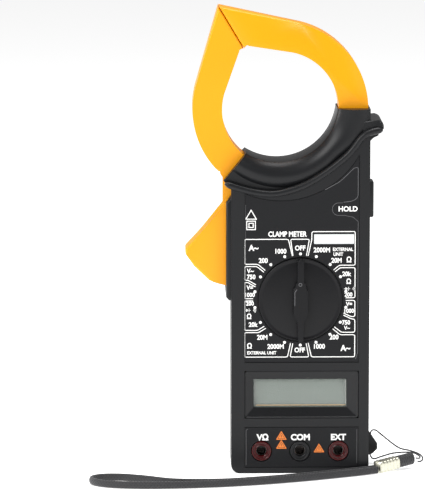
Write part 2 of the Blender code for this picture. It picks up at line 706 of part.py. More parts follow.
def moving_jaw():
    """The left-hand jaw with its trigger: two shells, the core, two screws, the pin and the spring."""
    half = JAW_THICK / 2
    hollow = CORE_THICK / 2 + TOUCH
    place = about_pivot(31 * MM, 243)
    for name, low, high, rim in (("moving_jaw_front_shell", -half, -SEAM_GAP / 2, "front"),
                                 ("moving_jaw_rear_shell", SEAM_GAP / 2, half, "rear")):
        shell = prism(moving_jaw_outline(), low, high, JAW_EDGE, rim)
        pin_hole = rod((PIVOT_X, PIVOT_Z), PIN_RADIUS + PIN_CLEARANCE, -half - 1 * MM, half + 1 * MM)
        relief = prism(band(RING_INNER - 3 * MM, RING_INNER + SWING_ROOM, MOVING_END + 7, 233.5), -JAW_THICK, JAW_THICK)
        cut(shell, prism(moving_core_outline(TOUCH), -hollow, hollow), pin_hole, relief)
        cut(shell, rod(place, SCREW_RADIUS + TOUCH, -half + 2.5 * MM, half + 1 * MM, SMALL_SIDES))
        cut(shell, rod(place, HEAD_RADIUS + TOUCH, half - 1.6 * MM, half + 1 * MM, SMALL_SIDES))
        finish(shell, name, "yellow")
    core_body("moving_jaw_core", moving_core_outline())
    screw("trigger_screw", *place, half - 0.4 * MM, JAW_THICK - 4.5 * MM)
    pin_end = REAR - WALL - TOUCH
    pin = turned([(0, -pin_end), (PIN_RADIUS - 0.4 * MM, -pin_end), (PIN_RADIUS, -pin_end + 0.4 * MM),
                  (PIN_RADIUS, pin_end - 0.4 * MM), (PIN_RADIUS - 0.4 * MM, pin_end), (0, pin_end)],
                 SIDES, (PIVOT_X, 0, PIVOT_Z))
    finish(pin, "jaw_pivot_pin", "steel")
    jaw_spring()


def jaw_spring():
    """The torsion spring round the rear pivot boss, one leg on the lever and one on the case."""
    wire = 0.8 * MM
    radius = PIVOT_BOSS + TOUCH + wire / 2
    start = JAW_THICK / 2 + TOUCH + wire
    turns = 3.79
    steps = 12
    first = -15
    points = []
    for i in range(round(turns * steps) + 1):
        angle = math.radians(first) + 2 * math.pi * i / steps
        rise = start + 1.15 * wire * i / steps
        points.append(Vector((PIVOT_X + radius * math.cos(angle), rise, PIVOT_Z + radius * math.sin(angle))))
    down = math.radians(first)
    lever_leg = points[0] - Vector((-math.sin(down), 0, math.cos(down))) * 19 * MM
    case_leg = points[-1] + Vector((10 * MM, 0, 0))
    tube("jaw_spring", "steel", [lever_leg, *points, case_leg], wire, 1)


def bar_outline():
    """The dial's raised pointer, wider in the middle third."""
    half, middle = BAR_WIDTH / 2, BAR_MIDDLE / 2
    top, low = DIAL_Z + DIAL_RADIUS - 0.3 * MM, DIAL_Z - DIAL_RADIUS - 0.4 * MM
    waist = (DIAL_Z + 7.3 * MM, DIAL_Z + 5.3 * MM, DIAL_Z - 5.3 * MM, DIAL_Z - 7.3 * MM)
    right = [(half, low), (half, waist[3]), (middle, waist[2]), (middle, waist[1]), (half, waist[0]), (half, top)]
    return right + [(-x, z) for x, z in reversed(right)]


def dial():
    """The knob, the rotor behind it, its wipers, and the two sprung balls that click in the ring."""
    front = FRONT - DIAL_PROUD
    back = FRONT + DIAL_THICK - DIAL_PROUD - TOUCH
    disc = turned([(0, back), (DIAL_RADIUS, back), (DIAL_RADIUS, front + 0.5 * MM), (DIAL_RADIUS - 0.5 * MM, front),
                   (0, front)][::-1], 48, (0, 0, DIAL_Z))
    bar = prism(bar_outline(), front - BAR_RISE, front + 1 * MM, 0.8 * MM)
    hub = rod((0, DIAL_Z), 5 * MM, back - 1 * MM, ROTOR_FRONT + 1.2 * MM, 24)
    add(disc, bar, hub)
    finish(disc, "dial_knob", "dial")

    rotor = rod((0, DIAL_Z), ROTOR_RADIUS, ROTOR_FRONT, ROTOR_FRONT + ROTOR_THICK, 48)
    cut(rotor, rod((0, DIAL_Z), 5 * MM + TOUCH, ROTOR_FRONT - 1 * MM, ROTOR_FRONT + 1.5 * MM, 24))
    middle = ROTOR_FRONT + ROTOR_THICK / 2
    bore = BALL_RADIUS + PIN_CLEARANCE
    for side in (-1, 1):
        outer, inner = side * (ROTOR_RADIUS + 1 * MM), side * 7.5 * MM
        low, high = sorted((outer, inner))
        cut(rotor, turned([(bore, low), (bore, high)], 16, (0, middle, DIAL_Z), "X"))
    finish(rotor, "dial_rotor", "black")
    for side, name in ((-1, "left"), (1, "right")):
        ball_x = side * (DETENT_RADIUS - BALL_RADIUS - 0.25 * MM)
        ball = turned([(BALL_RADIUS * math.sin(math.radians(a)), -BALL_RADIUS * math.cos(math.radians(a)))
                       for a in range(0, 181, 20)], 16, (ball_x, middle, DIAL_Z), "Z")
        finish(ball, f"detent_ball_{name}", "steel")
        spring = spring_points(side * 8.0 * MM, ball_x - side * (BALL_RADIUS + 0.5 * MM), middle)
        tube(f"detent_spring_{name}", "steel", spring, 0.45 * MM, 1)
    contact_y = ROTOR_FRONT + ROTOR_THICK + TOUCH
    wiper = prism(arc(12 * MM, 60, 120, (0, DIAL_Z), 8) + arc(4 * MM, 120, 60, (0, DIAL_Z), 6),
                  contact_y, contact_y + 0.2 * MM)
    finish(wiper, "dial_contacts", "brass")


def spring_points(start, end, y):
    """A small compression spring along X, behind one detent ball."""
    radius = BALL_RADIUS * 0.6
    turns, steps = 4, 8
    count = turns * steps
    return [Vector((start + (end - start) * i / count, y + radius * math.cos(2 * math.pi * i / steps),
                    DIAL_Z + radius * math.sin(2 * math.pi * i / steps))) for i in range(count + 1)]


def frame_of(low, high, hole_low, hole_high, y_back, y_front, slope):
    """A rectangular frame whose inner edge slopes from the front rim down to the hole."""
    mesh = bmesh.new()

    def ring(corners, y):
        (x0, z0), (x1, z1) = corners
        return [mesh.verts.new(p) for p in ((x0, y, z0), (x1, y, z0), (x1, y, z1), (x0, y, z1))]

    outer_back, outer_front = ring((low, high), y_back), ring((low, high), y_front)
    lip_low, lip_high = (low[0] + slope, low[1] + slope), (high[0] - slope, high[1] - slope)
    lip = ring((lip_low, lip_high), y_front)
    hole_front, hole_back = ring((hole_low, hole_high), y_back - 0.6 * MM), ring((hole_low, hole_high), y_back)
    for first, second in ((outer_back, outer_front), (outer_front, lip), (lip, hole_front), (hole_front, hole_back),
                          (hole_back, outer_back)):
        for i in range(4):
            j = (i + 1) % 4
            mesh.faces.new((first[i], first[j], second[j], second[i]))
    return from_bmesh(mesh)


def display():
    """The sloping frame, the clear window, the display glass and its rubber connector."""
    middle = (WINDOW_LOW + WINDOW_HIGH) / 2
    high = WINDOW_HIGH - WINDOW_LOW
    half = WINDOW_WIDTH / 2
    out = 2.7 * MM
    bezel_back = FRONT + WALL
    bezel = frame_of((-half - out, WINDOW_LOW - 1.9 * MM), (half + out, WINDOW_HIGH + 1.9 * MM),
                     (-half, WINDOW_LOW), (half, WINDOW_HIGH), bezel_back, FRONT + LABEL_RECESS, 0.5 * MM)
    finish(bezel, "lcd_bezel", "black")
    window_y = bezel_back + TOUCH
    window = block((0, window_y + 0.5 * MM, middle), (WINDOW_WIDTH + 3 * MM, 1 * MM, high + 3 * MM))
    finish(window, "lcd_window", "glass")
    glass_y = window_y + 1.3 * MM
    glass = block((0, glass_y + 0.7 * MM, middle), (WINDOW_WIDTH + 4 * MM, 1.4 * MM, high + 5 * MM))
    finish(glass, "lcd_glass", "display")
    strip_y = glass_y + 1.4 * MM + TOUCH
    strip_deep = BOARD_FRONT - TOUCH - strip_y
    strip = block((0, strip_y + strip_deep / 2, WINDOW_LOW - 0.8 * MM), (WINDOW_WIDTH, strip_deep, 2 * MM))
    finish(strip, "lcd_strip", "rubber")


def labels():
    """The two printed panels, each in its recess."""
    back = FRONT + LABEL_RECESS - TOUCH
    front = back - LABEL_THICK
    inset = 0.5 * MM
    dial_label = prism(label_outline(inset), front, back)
    cut(dial_label, rod((0, DIAL_Z), DIAL_RADIUS + 2 * RUNNING, front - 1 * MM, back + 1 * MM, 48))
    finish(dial_label, "dial_label", "label")
    low, high = JACK_LOW + inset, JACK_HIGH - inset
    jack_back = back - 0.2 * MM
    jack_label = box((LABEL_LEFT + inset, jack_back - LABEL_THICK, low), (LABEL_RIGHT - inset, jack_back, high))
    for i in (-1, 0, 1):
        hole = rod((i * JACK_SPACING, JACK_Z), JACK_RADIUS + 2 * TOUCH, front - 1 * MM, back + 1 * MM, SIDES)
        cut(jack_label, hole)
    finish(jack_label, "jack_label", "label")


def jacks():
    """Three sockets, each with its metal sleeve."""
    for i, (name, look) in enumerate((("jack_v", "red"), ("jack_com", "black"), ("jack_ext", "red"))):
        x = (i - 1) * JACK_SPACING
        front, back = FRONT - 0.1 * MM, BOARD_FRONT - TOUCH
        bore = JACK_BORE + SLEEVE_WALL + TOUCH
        inner = JACK_BORE
        profile = [(JACK_RADIUS, back), (JACK_RADIUS, front + 0.4 * MM), (JACK_RADIUS - 0.4 * MM, front),
                   (JACK_RADIUS - 0.8 * MM, front + 0.5 * MM), (inner + 0.6 * MM, front + 0.5 * MM),
                   (inner, front + 1 * MM), (inner, front + 2.6 * MM), (bore, front + 2.6 * MM), (bore, back)]
        finish(ring_of(profile, (x, JACK_Z)), name, look)
        start = front + 2.6 * MM + TOUCH
        end = start + JACK_LENGTH
        sleeve = [(JACK_BORE + SLEEVE_WALL, end), (JACK_BORE + SLEEVE_WALL, start), (JACK_BORE - 0.3 * MM, start),
                  (JACK_BORE - 0.3 * MM, end - 1 * MM), (0, end - 1 * MM)]
        cup = turned(sleeve, SMALL_SIDES, (x, 0, JACK_Z))
        finish(cup, f"{name}_sleeve", "brass")


def ring_of(profile, centre, sides=SIDES):
    """Turns a closed (radius, y) outline round the Y axis at (x, z)."""
    mesh = bmesh.new()
    rings = [[mesh.verts.new((centre[0] + r * math.cos(2 * math.pi * i / sides), y,
                              centre[1] + r * math.sin(2 * math.pi * i / sides))) for i in range(sides)]
             for r, y in profile]
    for k, ring in enumerate(rings):
        after = rings[(k + 1) % len(rings)]
        for i in range(sides):
            j = (i + 1) % sides
            mesh.faces.new((ring[i], ring[j], after[j], after[i]))
    return from_bmesh(mesh)


def board():
    """The circuit board, cut round the bosses and the sockets, and what stands on it."""
    side = BOARD_HALF_WIDTH
    narrow = JACK_SPACING + JACK_BORE + 2.6 * MM
    shoulder = JACK_HIGH - 1 * MM
    outline = [(-narrow, 4 * MM), (narrow, 4 * MM), (narrow, shoulder), (side, shoulder), (side, HOLD_Z + 10 * MM),
               (8.5 * MM, HOLD_Z + 10 * MM), (8.5 * MM, 113 * MM), (-side, 113 * MM), (-side, shoulder),
               (-narrow, shoulder)]
    back = BOARD_FRONT + BOARD_THICK
    plate = prism(outline, BOARD_FRONT, back)
    for i in (-1, 0, 1):
        hole = rod((i * JACK_SPACING, JACK_Z), JACK_BORE + SLEEVE_WALL + 2 * TOUCH, BOARD_FRONT - 1 * MM, back + 1 * MM, SMALL_SIDES)
        cut(plate, hole)
    finish(plate, "main_board", "board")
    seat = back + TOUCH

    def stood(name, look, x, z, size, edge=0.2 * MM):
        wide, deep, high = (v * MM for v in size)
        finish(block((x * MM, seat + deep / 2, z * MM), (wide, deep, high), edge), name, look)

    stood("converter_chip", "rubber", 3, 74, (15, 2.4, 15))
    stood("input_resistor", "cell", -14, 66, (12, 2.6, 3))
    stood("trimmer", "red_wire", 23, 70, (6.5, 2.6, 6.5))
    stood("spark_gap", "brass", 10, 60, (8, 2.2, 2.4))
    finish(turned([(0, seat), (3.6 * MM, seat), (3.6 * MM, seat + 2 * MM), (0, seat + 2 * MM)], 20,
                  (21 * MM, 0, 59 * MM)), "ptc_thermistor", "red_wire")
    buzzer = turned([(0, seat), (7 * MM, seat), (7 * MM, seat + 2.6 * MM), (1.2 * MM, seat + 2.6 * MM),
                     (1.2 * MM, seat + 2 * MM), (0, seat + 2 * MM)], 28, (20 * MM, 0, 96 * MM))
    finish(buzzer, "buzzer", "black")


def hold():
    """The hold button, its plunger and the switch that it works."""
    inside = RIGHT - WALL - TOUCH
    flange = block((inside - 0.75 * MM, 0, HOLD_Z), (1.5 * MM, HOLD_WIDTH + 3.4 * MM, HOLD_LENGTH + 3.4 * MM))
    cap_x = (inside - 1 * MM + RIGHT + HOLD_PROUD) / 2
    cap = block((cap_x, 0, HOLD_Z), (RIGHT + HOLD_PROUD - inside + 1 * MM, HOLD_WIDTH, HOLD_LENGTH), 0.8 * MM)
    add(cap, flange)
    finish(cap, "hold_button", "black")
    side = 1.5 * MM
    end = inside - 1.5 * MM - TOUCH
    switch_end = end - 4.2 * MM
    inner = switch_end - 5 * MM
    plunger = box((inner, SWITCH_Y - side, HOLD_Z - side), (end, SWITCH_Y + side, HOLD_Z + side))
    finish(plunger, "hold_plunger", "label")
    seat = BOARD_FRONT + BOARD_THICK + TOUCH
    body = box((switch_end - 12 * MM, seat, HOLD_Z - 4 * MM), (switch_end, seat + 6 * MM, HOLD_Z + 4 * MM), 0.3 * MM)
    room = side + TOUCH
    pocket = box((inner - HOLD_TRAVEL - TOUCH, SWITCH_Y - room, HOLD_Z - room),
                 (switch_end + 1 * MM, SWITCH_Y + room, HOLD_Z + room))
    cut(body, pocket)
    finish(body, "hold_switch", "cell")


def power():
    """The 9 V battery on its side, its snap, and the leads through the bay's floor."""
    middle_y = BATTERY_REAR - BATTERY.y / 2
    cell = block((BATTERY_X, middle_y, BATTERY_Z), BATTERY, 1.6 * MM)
    left = BATTERY_X - BATTERY.x / 2
    finish(cell, "battery", "cell")
    snap_x = left - TOUCH - SNAP_THICK / 2
    snap = block((snap_x, middle_y, BATTERY_Z), (SNAP_THICK - 0.3 * MM, BATTERY.y - 2 * MM, BATTERY.z - 3 * MM), 0.6 * MM)
    finish(snap, "battery_snap", "rubber")
    front = middle_y - BATTERY.y / 2 + 1 * MM
    board_back = BOARD_FRONT + BOARD_THICK
    for name, look, side in (("battery_lead_red", "red_wire", 1), ("battery_lead_black", "rubber", -1)):
        z = BATTERY_Z + side * 2.2 * MM
        route = [(snap_x, front - TOUCH, z), (snap_x, front - 3 * MM, z), (snap_x + 1.5 * MM, board_back + 1.4 * MM, z),
                 (snap_x + 5 * MM, board_back + 1 * MM, z + side * 2 * MM),
                 (snap_x + 9 * MM, board_back + 1 * MM, z + side * 4 * MM)]
        tube(name, look, smooth_route(route, 1.5 * MM), 1.1 * MM, 1)
    coil_z = RING_Z - RING_OUTER
    for name, look, step in (("coil_lead_red", "red_wire", 0), ("coil_lead_black", "rubber", 2.4)):
        x = (8.6 + step) * MM
        route = [(x, -6.2 * MM, coil_z + 1 * MM), (x + 0.5 * MM, -6.4 * MM, coil_z - 4 * MM),
                 (x, -6.8 * MM, coil_z - 11 * MM), (x, -7.4 * MM, coil_z - 18 * MM)]
        tube(name, look, smooth_route(route, 2 * MM), 1.1 * MM, 1)


# Routes in millimetres: the string through the lug's eye, and the braid from the crimp round and back
STRING_ROUTE = (
    (58.4, -3.2, 4.6), (60.2, -1.6, 4.2), (60.4, 0.6, 4.8), (57.5, 2.2, 6.2), (52.5, 1.8, 6.6), (47.0, 2.2, 6.0),
    (41.7, 4.4, 4.0), (38.0, 6.4, 2.4), (36.3, 7.0, 4.0), (36.1, 7.0, 8.0), (36.1, 7.0, 12.5), (36.6, 6.9, 16.4),
    (38.8, 6.2, 17.0), (42.0, 4.2, 14.8), (46.5, 1.0, 11.6), (50.5, -1.8, 9.4), (55.0, -3.4, 8.6),
    (59.5, -4.6, 7.2), (61.5, -5.8, 5.4), (60.8, -7.2, 4.0), (58.8, -7.4, 3.6),
)
STRAP_ROUTE = (
    (38.2, -19.9, 2.6), (29.0, -24.2, 2.4), (14.0, -31.4, 2.4), (-2.0, -38.2, 2.4), (-20.0, -44.6, 2.4),
    (-40.0, -49.6, 2.4), (-60.0, -52.4, 2.4), (-78.0, -52.8, 2.4), (-92.0, -50.6, 2.4), (-100.5, -45.6, 2.4),
    (-103.0, -39.0, 2.4), (-98.0, -33.8, 2.4), (-88.0, -33.6, 2.4), (-76.0, -38.4, 2.4), (-62.0, -45.6, 2.4),
    (-40.6, -46.6, 2.4), (-21.0, -41.8, 2.4), (-3.2, -35.4, 2.4), (12.7, -28.7, 2.4), (27.6, -21.5, 2.4),
    (36.7, -17.2, 2.6),
)
STRAP_LIE = Vector((0.80, 0.60, 0.07)).normalized()


def strap():
    """The wrist strap: a string loop through the lug, the braid's tail, the crimp and the braid's own loop."""
    string = [Vector(p) * MM for p in STRING_ROUTE]
    tube("strap_string", "braid", smooth_route(string, 2.6 * MM), STRING_DIAMETER)
    braid = [Vector(p) * MM for p in STRAP_ROUTE]
    tube("strap_braid", "braid", smooth_route(braid, 8 * MM), BRAID_DIAMETER)
    start = (braid[0] + braid[-1]) / 2 + STRAP_LIE * 2.4 * TOUCH
    lie = Matrix.Translation(start) @ STRAP_LIE.to_track_quat("X", "Z").to_matrix().to_4x4()
    crimp = block((CRIMP_LENGTH / 2, 0, 0), (CRIMP_LENGTH, CRIMP_DEPTH, CRIMP_HEIGHT), 0.8 * MM)
    crimp.data.transform(lie)
    crimp.data.transform(Matrix.Translation((0, 0, 0.6 * MM)))
    finish(crimp, "strap_crimp", "steel")
    middle = CRIMP_LENGTH + TOUCH + TAIL_LENGTH / 2
    tail = block((middle, 0, 0.6 * MM), (TAIL_LENGTH, CRIMP_DEPTH - 1.6 * MM, CRIMP_HEIGHT - 1.2 * MM), 0.8 * MM)
    tail.data.transform(lie)
    finish(tail, "strap_tail", "braid")


def main():
    """Builds every piece."""
    clear_scene()
    front_case()
    rear_case()
    battery_door()
    fasteners()
    fixed_jaw()
    moving_jaw()
    dial()
    display()
    labels()
    jacks()
    board()
    hold()
    power()
    strap()


if __name__ == "__main__":
    main()
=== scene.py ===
"""Visual model of a hand-held digital clamp meter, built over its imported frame.

Each sub-assembly is a dataclass with a build() method. Lengths are in metres, and MM turns millimetres
into metres.
The front of the meter faces -Y, and +Z runs up the case to the jaw.
"""

import logging
import math
from collections.abc import Callable
from dataclasses import dataclass
from enum import Enum
from typing import Protocol

import bmesh
import bpy
from mathutils import Matrix, Vector


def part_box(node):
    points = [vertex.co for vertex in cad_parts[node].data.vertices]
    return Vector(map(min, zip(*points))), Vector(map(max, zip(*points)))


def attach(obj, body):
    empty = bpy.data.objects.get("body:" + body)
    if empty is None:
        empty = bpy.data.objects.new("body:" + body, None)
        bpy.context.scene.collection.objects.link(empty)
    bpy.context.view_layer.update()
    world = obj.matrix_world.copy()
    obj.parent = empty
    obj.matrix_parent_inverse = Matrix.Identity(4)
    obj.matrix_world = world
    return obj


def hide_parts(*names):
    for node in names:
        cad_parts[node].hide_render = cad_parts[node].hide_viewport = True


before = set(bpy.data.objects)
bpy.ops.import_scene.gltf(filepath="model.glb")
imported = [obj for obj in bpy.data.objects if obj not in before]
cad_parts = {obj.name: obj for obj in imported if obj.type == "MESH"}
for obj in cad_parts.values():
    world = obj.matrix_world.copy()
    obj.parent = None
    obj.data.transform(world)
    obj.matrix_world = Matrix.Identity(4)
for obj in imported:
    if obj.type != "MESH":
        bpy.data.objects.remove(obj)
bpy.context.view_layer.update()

log = logging.getLogger("clamp_meter")
MM = 0.001
Point = tuple[float, float]

# Sizes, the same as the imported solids'.
FRONT, REAR, RIGHT = -16.5 * MM, 16.5 * MM, 34 * MM
SEAM_Y, SEAM_GAP = 1.5 * MM, 0.3 * MM
RING = (-9.7 * MM, 180 * MM)
RING_INNER, RING_OUTER = 28.6 * MM, 43.1 * MM
JAW_THICK = 16 * MM
FIXED_SLOPE, MOVING_SLOPE = 78.0, 164.0
SEAM_ANGLE = (FIXED_SLOPE + MOVING_SLOPE) / 2
NOSE = 4.1 * MM
COLLAR_INNER, COLLAR_WALL, COLLAR_LEFT = 29.4 * MM, 1.4 * MM, -129.0
GUARD_RADIUS, GUARD_WIDTH, GUARD_RISE = 39.2 * MM, 3.4 * MM, 2.2 * MM
PIVOT = (-27.8 * MM, 137 * MM)
TRIGGER_OUT, TRIGGER_TIP_Z, TRIGGER_REACH, TRIGGER_LIP = 22.3 * MM, 110 * MM, 45 * MM, 2.5 * MM
SLOT_BOTTOM = 90.5 * MM
DIAL_Z, DIAL_RADIUS, DIAL_PROUD = 87 * MM, 20.6 * MM, 0.7 * MM
LABEL_LEFT, LABEL_RIGHT, LABEL_BOTTOM, LABEL_RECESS = -27.4 * MM, 28.9 * MM, 55.5 * MM, 0.8 * MM
WINDOW_LOW, WINDOW_HIGH, WINDOW_HALF = 32.9 * MM, 47.1 * MM, 23 * MM
JACK_Z, JACK_SPACING, JACK_RADIUS, JACK_BORE = 11.2 * MM, 19 * MM, 4.9 * MM, 2.6 * MM
HOLD_Z = 135 * MM
LABEL_FACE = FRONT + LABEL_RECESS - 0.6 * MM
JACK_FACE = LABEL_FACE - 0.2 * MM


class Part(str, Enum):
    """The rigid bodies that pieces ride on."""

    CASE = "case"
    JAW = "moving_jaw"
    DIAL = "dial"
    HOLD = "hold_button"
    DOOR = "battery_door"


class Operation(str, Enum):
    """What a Boolean does with its tool."""

    CUT = "DIFFERENCE"
    ADD = "UNION"


# ---------------------------------------------------------------- shader graph


@dataclass(frozen=True)
class Value:
    """A shader socket that takes part in arithmetic, on either side of an operator."""

    graph: "Graph"
    socket: bpy.types.NodeSocket

    def __add__(self, other: "Value | float") -> "Value":
        """The sum."""
        return self.graph.maths("ADD", self, other)

    def __sub__(self, other: "Value | float") -> "Value":
        """The difference."""
        return self.graph.maths("SUBTRACT", self, other)

    def __rsub__(self, other: float) -> "Value":
        """The difference from a number."""
        return self.graph.maths("SUBTRACT", other, self)

    def __mul__(self, other: "Value | float") -> "Value":
        """The product."""
        return self.graph.maths("MULTIPLY", self, other)

    __radd__ = __add__
    __rmul__ = __mul__


class Graph:
    """One material's node tree. Every node is made by node()."""

    def __init__(self, name: str) -> None:
        """Starts the tree with its output and one Principled shader."""
        self.material = bpy.data.materials.new(name)
        self.material.use_nodes = True
        self.tree = self.material.node_tree
        self.tree.nodes.clear()
        output = self.node("ShaderNodeOutputMaterial")
        self.shader = self.node("ShaderNodeBsdfPrincipled")
        self.tree.links.new(self.shader.outputs[0], output.inputs["Surface"])

    def node(self, kind: str, inputs: dict | None = None, **settings: object) -> bpy.types.Node:
        """Makes a node.

        Args:
            kind: the node's type name.
            inputs: values or Value sockets for its inputs, by name or index.
            settings: attributes of the node.

        Returns:
            The node.
        """
        made = self.tree.nodes.new(kind)
        for key, value in settings.items():
            setattr(made, key, value)
        for key, value in (inputs or {}).items():
            self.feed(made.inputs[key], value)
        return made

    def feed(self, socket: bpy.types.NodeSocket, value: "Value | float | tuple") -> None:
        """Links a Value to a socket, or sets a constant on it."""
        if isinstance(value, Value):
            self.tree.links.new(value.socket, socket)
        else:
            socket.default_value = value

    def maths(self, operation: str, a: "Value | float", b: "Value | float", clamp: bool = False) -> Value:
        """One arithmetic node on two values."""
        made = self.node("ShaderNodeMath", {0: a, 1: b}, operation=operation, use_clamp=clamp)
        return Value(self, made.outputs[0])

    def noise(self, scale: float, detail: float = 2.0, rough: float = 0.5,
              stretch: tuple = (1, 1, 1)) -> Value:
        """Noise in the object's own coordinates, at this many cells a metre."""
        place = Value(self, self.node("ShaderNodeTexCoord").outputs["Object"])
        mapped = self.node("ShaderNodeMapping", {"Vector": place, "Scale": stretch})
        made = self.node("ShaderNodeTexNoise", {"Vector": Value(self, mapped.outputs[0]), "Scale": scale,
                                                "Detail": detail, "Roughness": rough})
        return Value(self, made.outputs[0])

    def axis(self, index: int) -> Value:
        """One of the object's own coordinates, in metres."""
        place = Value(self, self.node("ShaderNodeTexCoord").outputs["Object"])
        return Value(self, self.node("ShaderNodeSeparateXYZ", {0: place}).outputs[index])

    def ramp(self, value: Value, low: float, high: float) -> Value:
        """A soft step from 0 to 1 between two levels."""
        made = self.node("ShaderNodeMapRange", {"Value": value, "From Min": low, "From Max": high},
                         interpolation_type="SMOOTHSTEP")
        return Value(self, made.outputs[0])

    def mix(self, share: "Value | float", a: "Value | tuple", b: "Value | tuple") -> Value:
        """A blend of two colours."""
        made = self.node("ShaderNodeMix", data_type="RGBA")
        for socket, value in ((made.inputs[0], share), (made.inputs[6], a), (made.inputs[7], b)):
            self.feed(socket, value)
        return Value(self, made.outputs[2])

    def bump(self, height: Value, strength: float, distance: float) -> None:
        """Feeds a height to the shader's normal."""
        made = self.node("ShaderNodeBump", {"Height": height, "Strength": strength, "Distance": distance})
        self.feed(self.shader.inputs["Normal"], Value(self, made.outputs[0]))

    def set(self, **inputs: "Value | float | tuple") -> None:
        """Sets the shader's inputs; an underscore stands for a space."""
        for key, value in inputs.items():
            self.feed(self.shader.inputs[key.replace("_", " ")], value)


# ---------------------------------------------------------------- finishes


class Finish(Protocol):
    """Anything that can make a piece's material."""

    def make(self, name: str) -> bpy.types.Material:
        """Returns the material."""


@dataclass(frozen=True)
class Plastic:
    """Moulded plastic: a fine spark-eroded grain, soft colour drift, handling shine and a little dust."""

    colour: tuple[float, float, float]
    rough: float
    grain: float = 0.05
    drift: float = 0.06
    dust: float = 0.0
    cell: float = 2600.0
    coat: float = 0.0
    shine: float = 0.5

    def make(self, name: str) -> bpy.types.Material:
        """Returns the material."""
        graph = Graph(name)
        broad, fine = graph.noise(34.0, 3.0), graph.noise(self.cell, 2.0, 0.6)
        shade = 1.0 - self.drift + 2 * self.drift * broad
        dark, light = ((*[c * share for c in self.colour], 1) for share in (0.72, 1.28))
        base = graph.mix(shade * 0.5, dark, light)
        if self.dust:
            speck = graph.ramp(graph.noise(900.0, 4.0, 0.7), 0.62, 0.74) * self.dust
            base = graph.mix(speck, base, (0.42, 0.40, 0.37, 1))
        graph.set(Base_Color=base, Roughness=self.rough + 0.12 * (broad - 0.5) + 0.10 * (fine - 0.5),
                  Coat_Weight=self.coat, Coat_Roughness=0.15, Specular_IOR_Level=self.shine)
        graph.bump(fine, self.grain, 0.00008)
        return graph.material


@dataclass(frozen=True)
class Metal:
    """Plated or turned metal with fine brushed lines and light tarnish."""

    colour: tuple[float, float, float]
    rough: float
    lines: tuple = (1, 1, 14)

    def make(self, name: str) -> bpy.types.Material:
        """Returns the material."""
        graph = Graph(name)
        lines, tarnish = graph.noise(1500.0, 2.0, 0.5, self.lines), graph.noise(160.0, 3.0)
        dull = tuple(c * 0.6 for c in self.colour)
        graph.set(Base_Color=graph.mix(graph.ramp(tarnish, 0.45, 0.8) * 0.6, (*self.colour, 1), (*dull, 1)),
                  Metallic=1.0, Roughness=self.rough + 0.2 * (lines - 0.5))
        graph.bump(lines, 0.12, 0.00005)
        return graph.material


@dataclass(frozen=True)
class Braid:
    """Braided nylon: crossing strands along the piece's own uv, with loose fluff."""

    colour: tuple[float, float, float]
    pitch: float = 1.0

    def make(self, name: str) -> bpy.types.Material:
        """Returns the material."""
        graph = Graph(name)
        uv = Value(graph, graph.node("ShaderNodeUVMap", uv_map="route").outputs[0])
        parts = graph.node("ShaderNodeSeparateXYZ", {0: uv})
        along, across = Value(graph, parts.outputs[0]), Value(graph, parts.outputs[1])
        one = graph.maths("SINE", (along + across) * (2 * math.pi * self.pitch), 0.0)
        two = graph.maths("SINE", (along - across) * (2 * math.pi * self.pitch), 0.0)
        weave = graph.maths("MAXIMUM", one, two) * 0.5 + 0.5
        fluff = graph.noise(2200.0, 3.0, 0.7)
        light = tuple(min(1.0, c * 3.2 + 0.012) for c in self.colour)
        graph.set(Base_Color=graph.mix(weave * 0.6 + fluff * 0.25, (*self.colour, 1), (*light, 1)),
                  Roughness=0.72 + 0.2 * (fluff - 0.5), Sheen_Weight=0.35, Sheen_Roughness=0.4)
        graph.bump(weave + 0.4 * fluff, 0.7, 0.00025)
        return graph.material


@dataclass(frozen=True)
class Clear:
    """A clear, lightly scratched window."""

    tint: tuple[float, float, float]
    alpha: float

    def make(self, name: str) -> bpy.types.Material:
        """Returns the material."""
        graph = Graph(name)
        scratch = graph.noise(420.0, 4.0, 0.7, (1, 1, 9))
        graph.set(Base_Color=(*self.tint, 1), Alpha=self.alpha,
                  Roughness=0.05 + 0.12 * graph.ramp(scratch, 0.6, 0.8),
                  Specular_IOR_Level=0.6)
        return graph.material


@dataclass(frozen=True)
class Screen:
    """The display's grey-green glass, with painted shade that darkens it towards the top, and a faint random
    mottle.
    """

    colour: tuple[float, float, float]

    def make(self, name: str) -> bpy.types.Material:
        """Returns the material."""
        graph = Graph(name)
        # Painted shade: the glass is darkened towards the top of the window, where the frame's upper wall
        # shades it; the mottle is random tone.
        rise = graph.ramp(graph.axis(2), WINDOW_LOW, WINDOW_HIGH)
        mottle = graph.noise(120.0, 2.0)
        dark = tuple(c * 0.86 for c in self.colour)
        graph.set(Base_Color=graph.mix(rise * 0.7 + mottle * 0.3, (*self.colour, 1), (*dark, 1)),
                  Roughness=0.22 + 0.08 * mottle, Coat_Weight=0.3)
        graph.bump(graph.noise(1800.0), 0.03, 0.00003)
        return graph.material


YELLOW = Plastic((0.87, 0.345, 0.0015), 0.36, 0.04, 0.05, 0.02, 2200.0, 0.04, 0.28)
BLACK = Plastic((0.0085, 0.0089, 0.0100), 0.34, 0.14, 0.08, 0.01, shine=0.24)
RIM = Plastic((0.0075, 0.0078, 0.0088), 0.3, 0.12, 0.08, 0.01, shine=0.28)
DIAL_BLACK = Plastic((0.0050, 0.0050, 0.0060), 0.38, 0.12, 0.1, 0.01, shine=0.2)
FILM = Plastic((0.0070, 0.0073, 0.0085), 0.46, 0.3, 0.08, 0.01, 3600.0, shine=0.2)
PRINT = Plastic((0.92, 0.92, 0.9), 0.55, 0.05, 0.03)
# Grey for the dial's mark, and for painted highlight lines where recess edges catch the light.
SOFT_PRINT_AND_EDGE_HIGHLIGHT = Plastic((0.10, 0.10, 0.105), 0.4, 0.08, 0.1)
ORANGE = Plastic((0.78, 0.2, 0.02), 0.5, 0.08, 0.08)
STICKER = Plastic((0.66, 0.68, 0.68), 0.45, 0.1, 0.1, 0.12)
GREY = Plastic((0.14, 0.145, 0.15), 0.4, 0.08, 0.1)
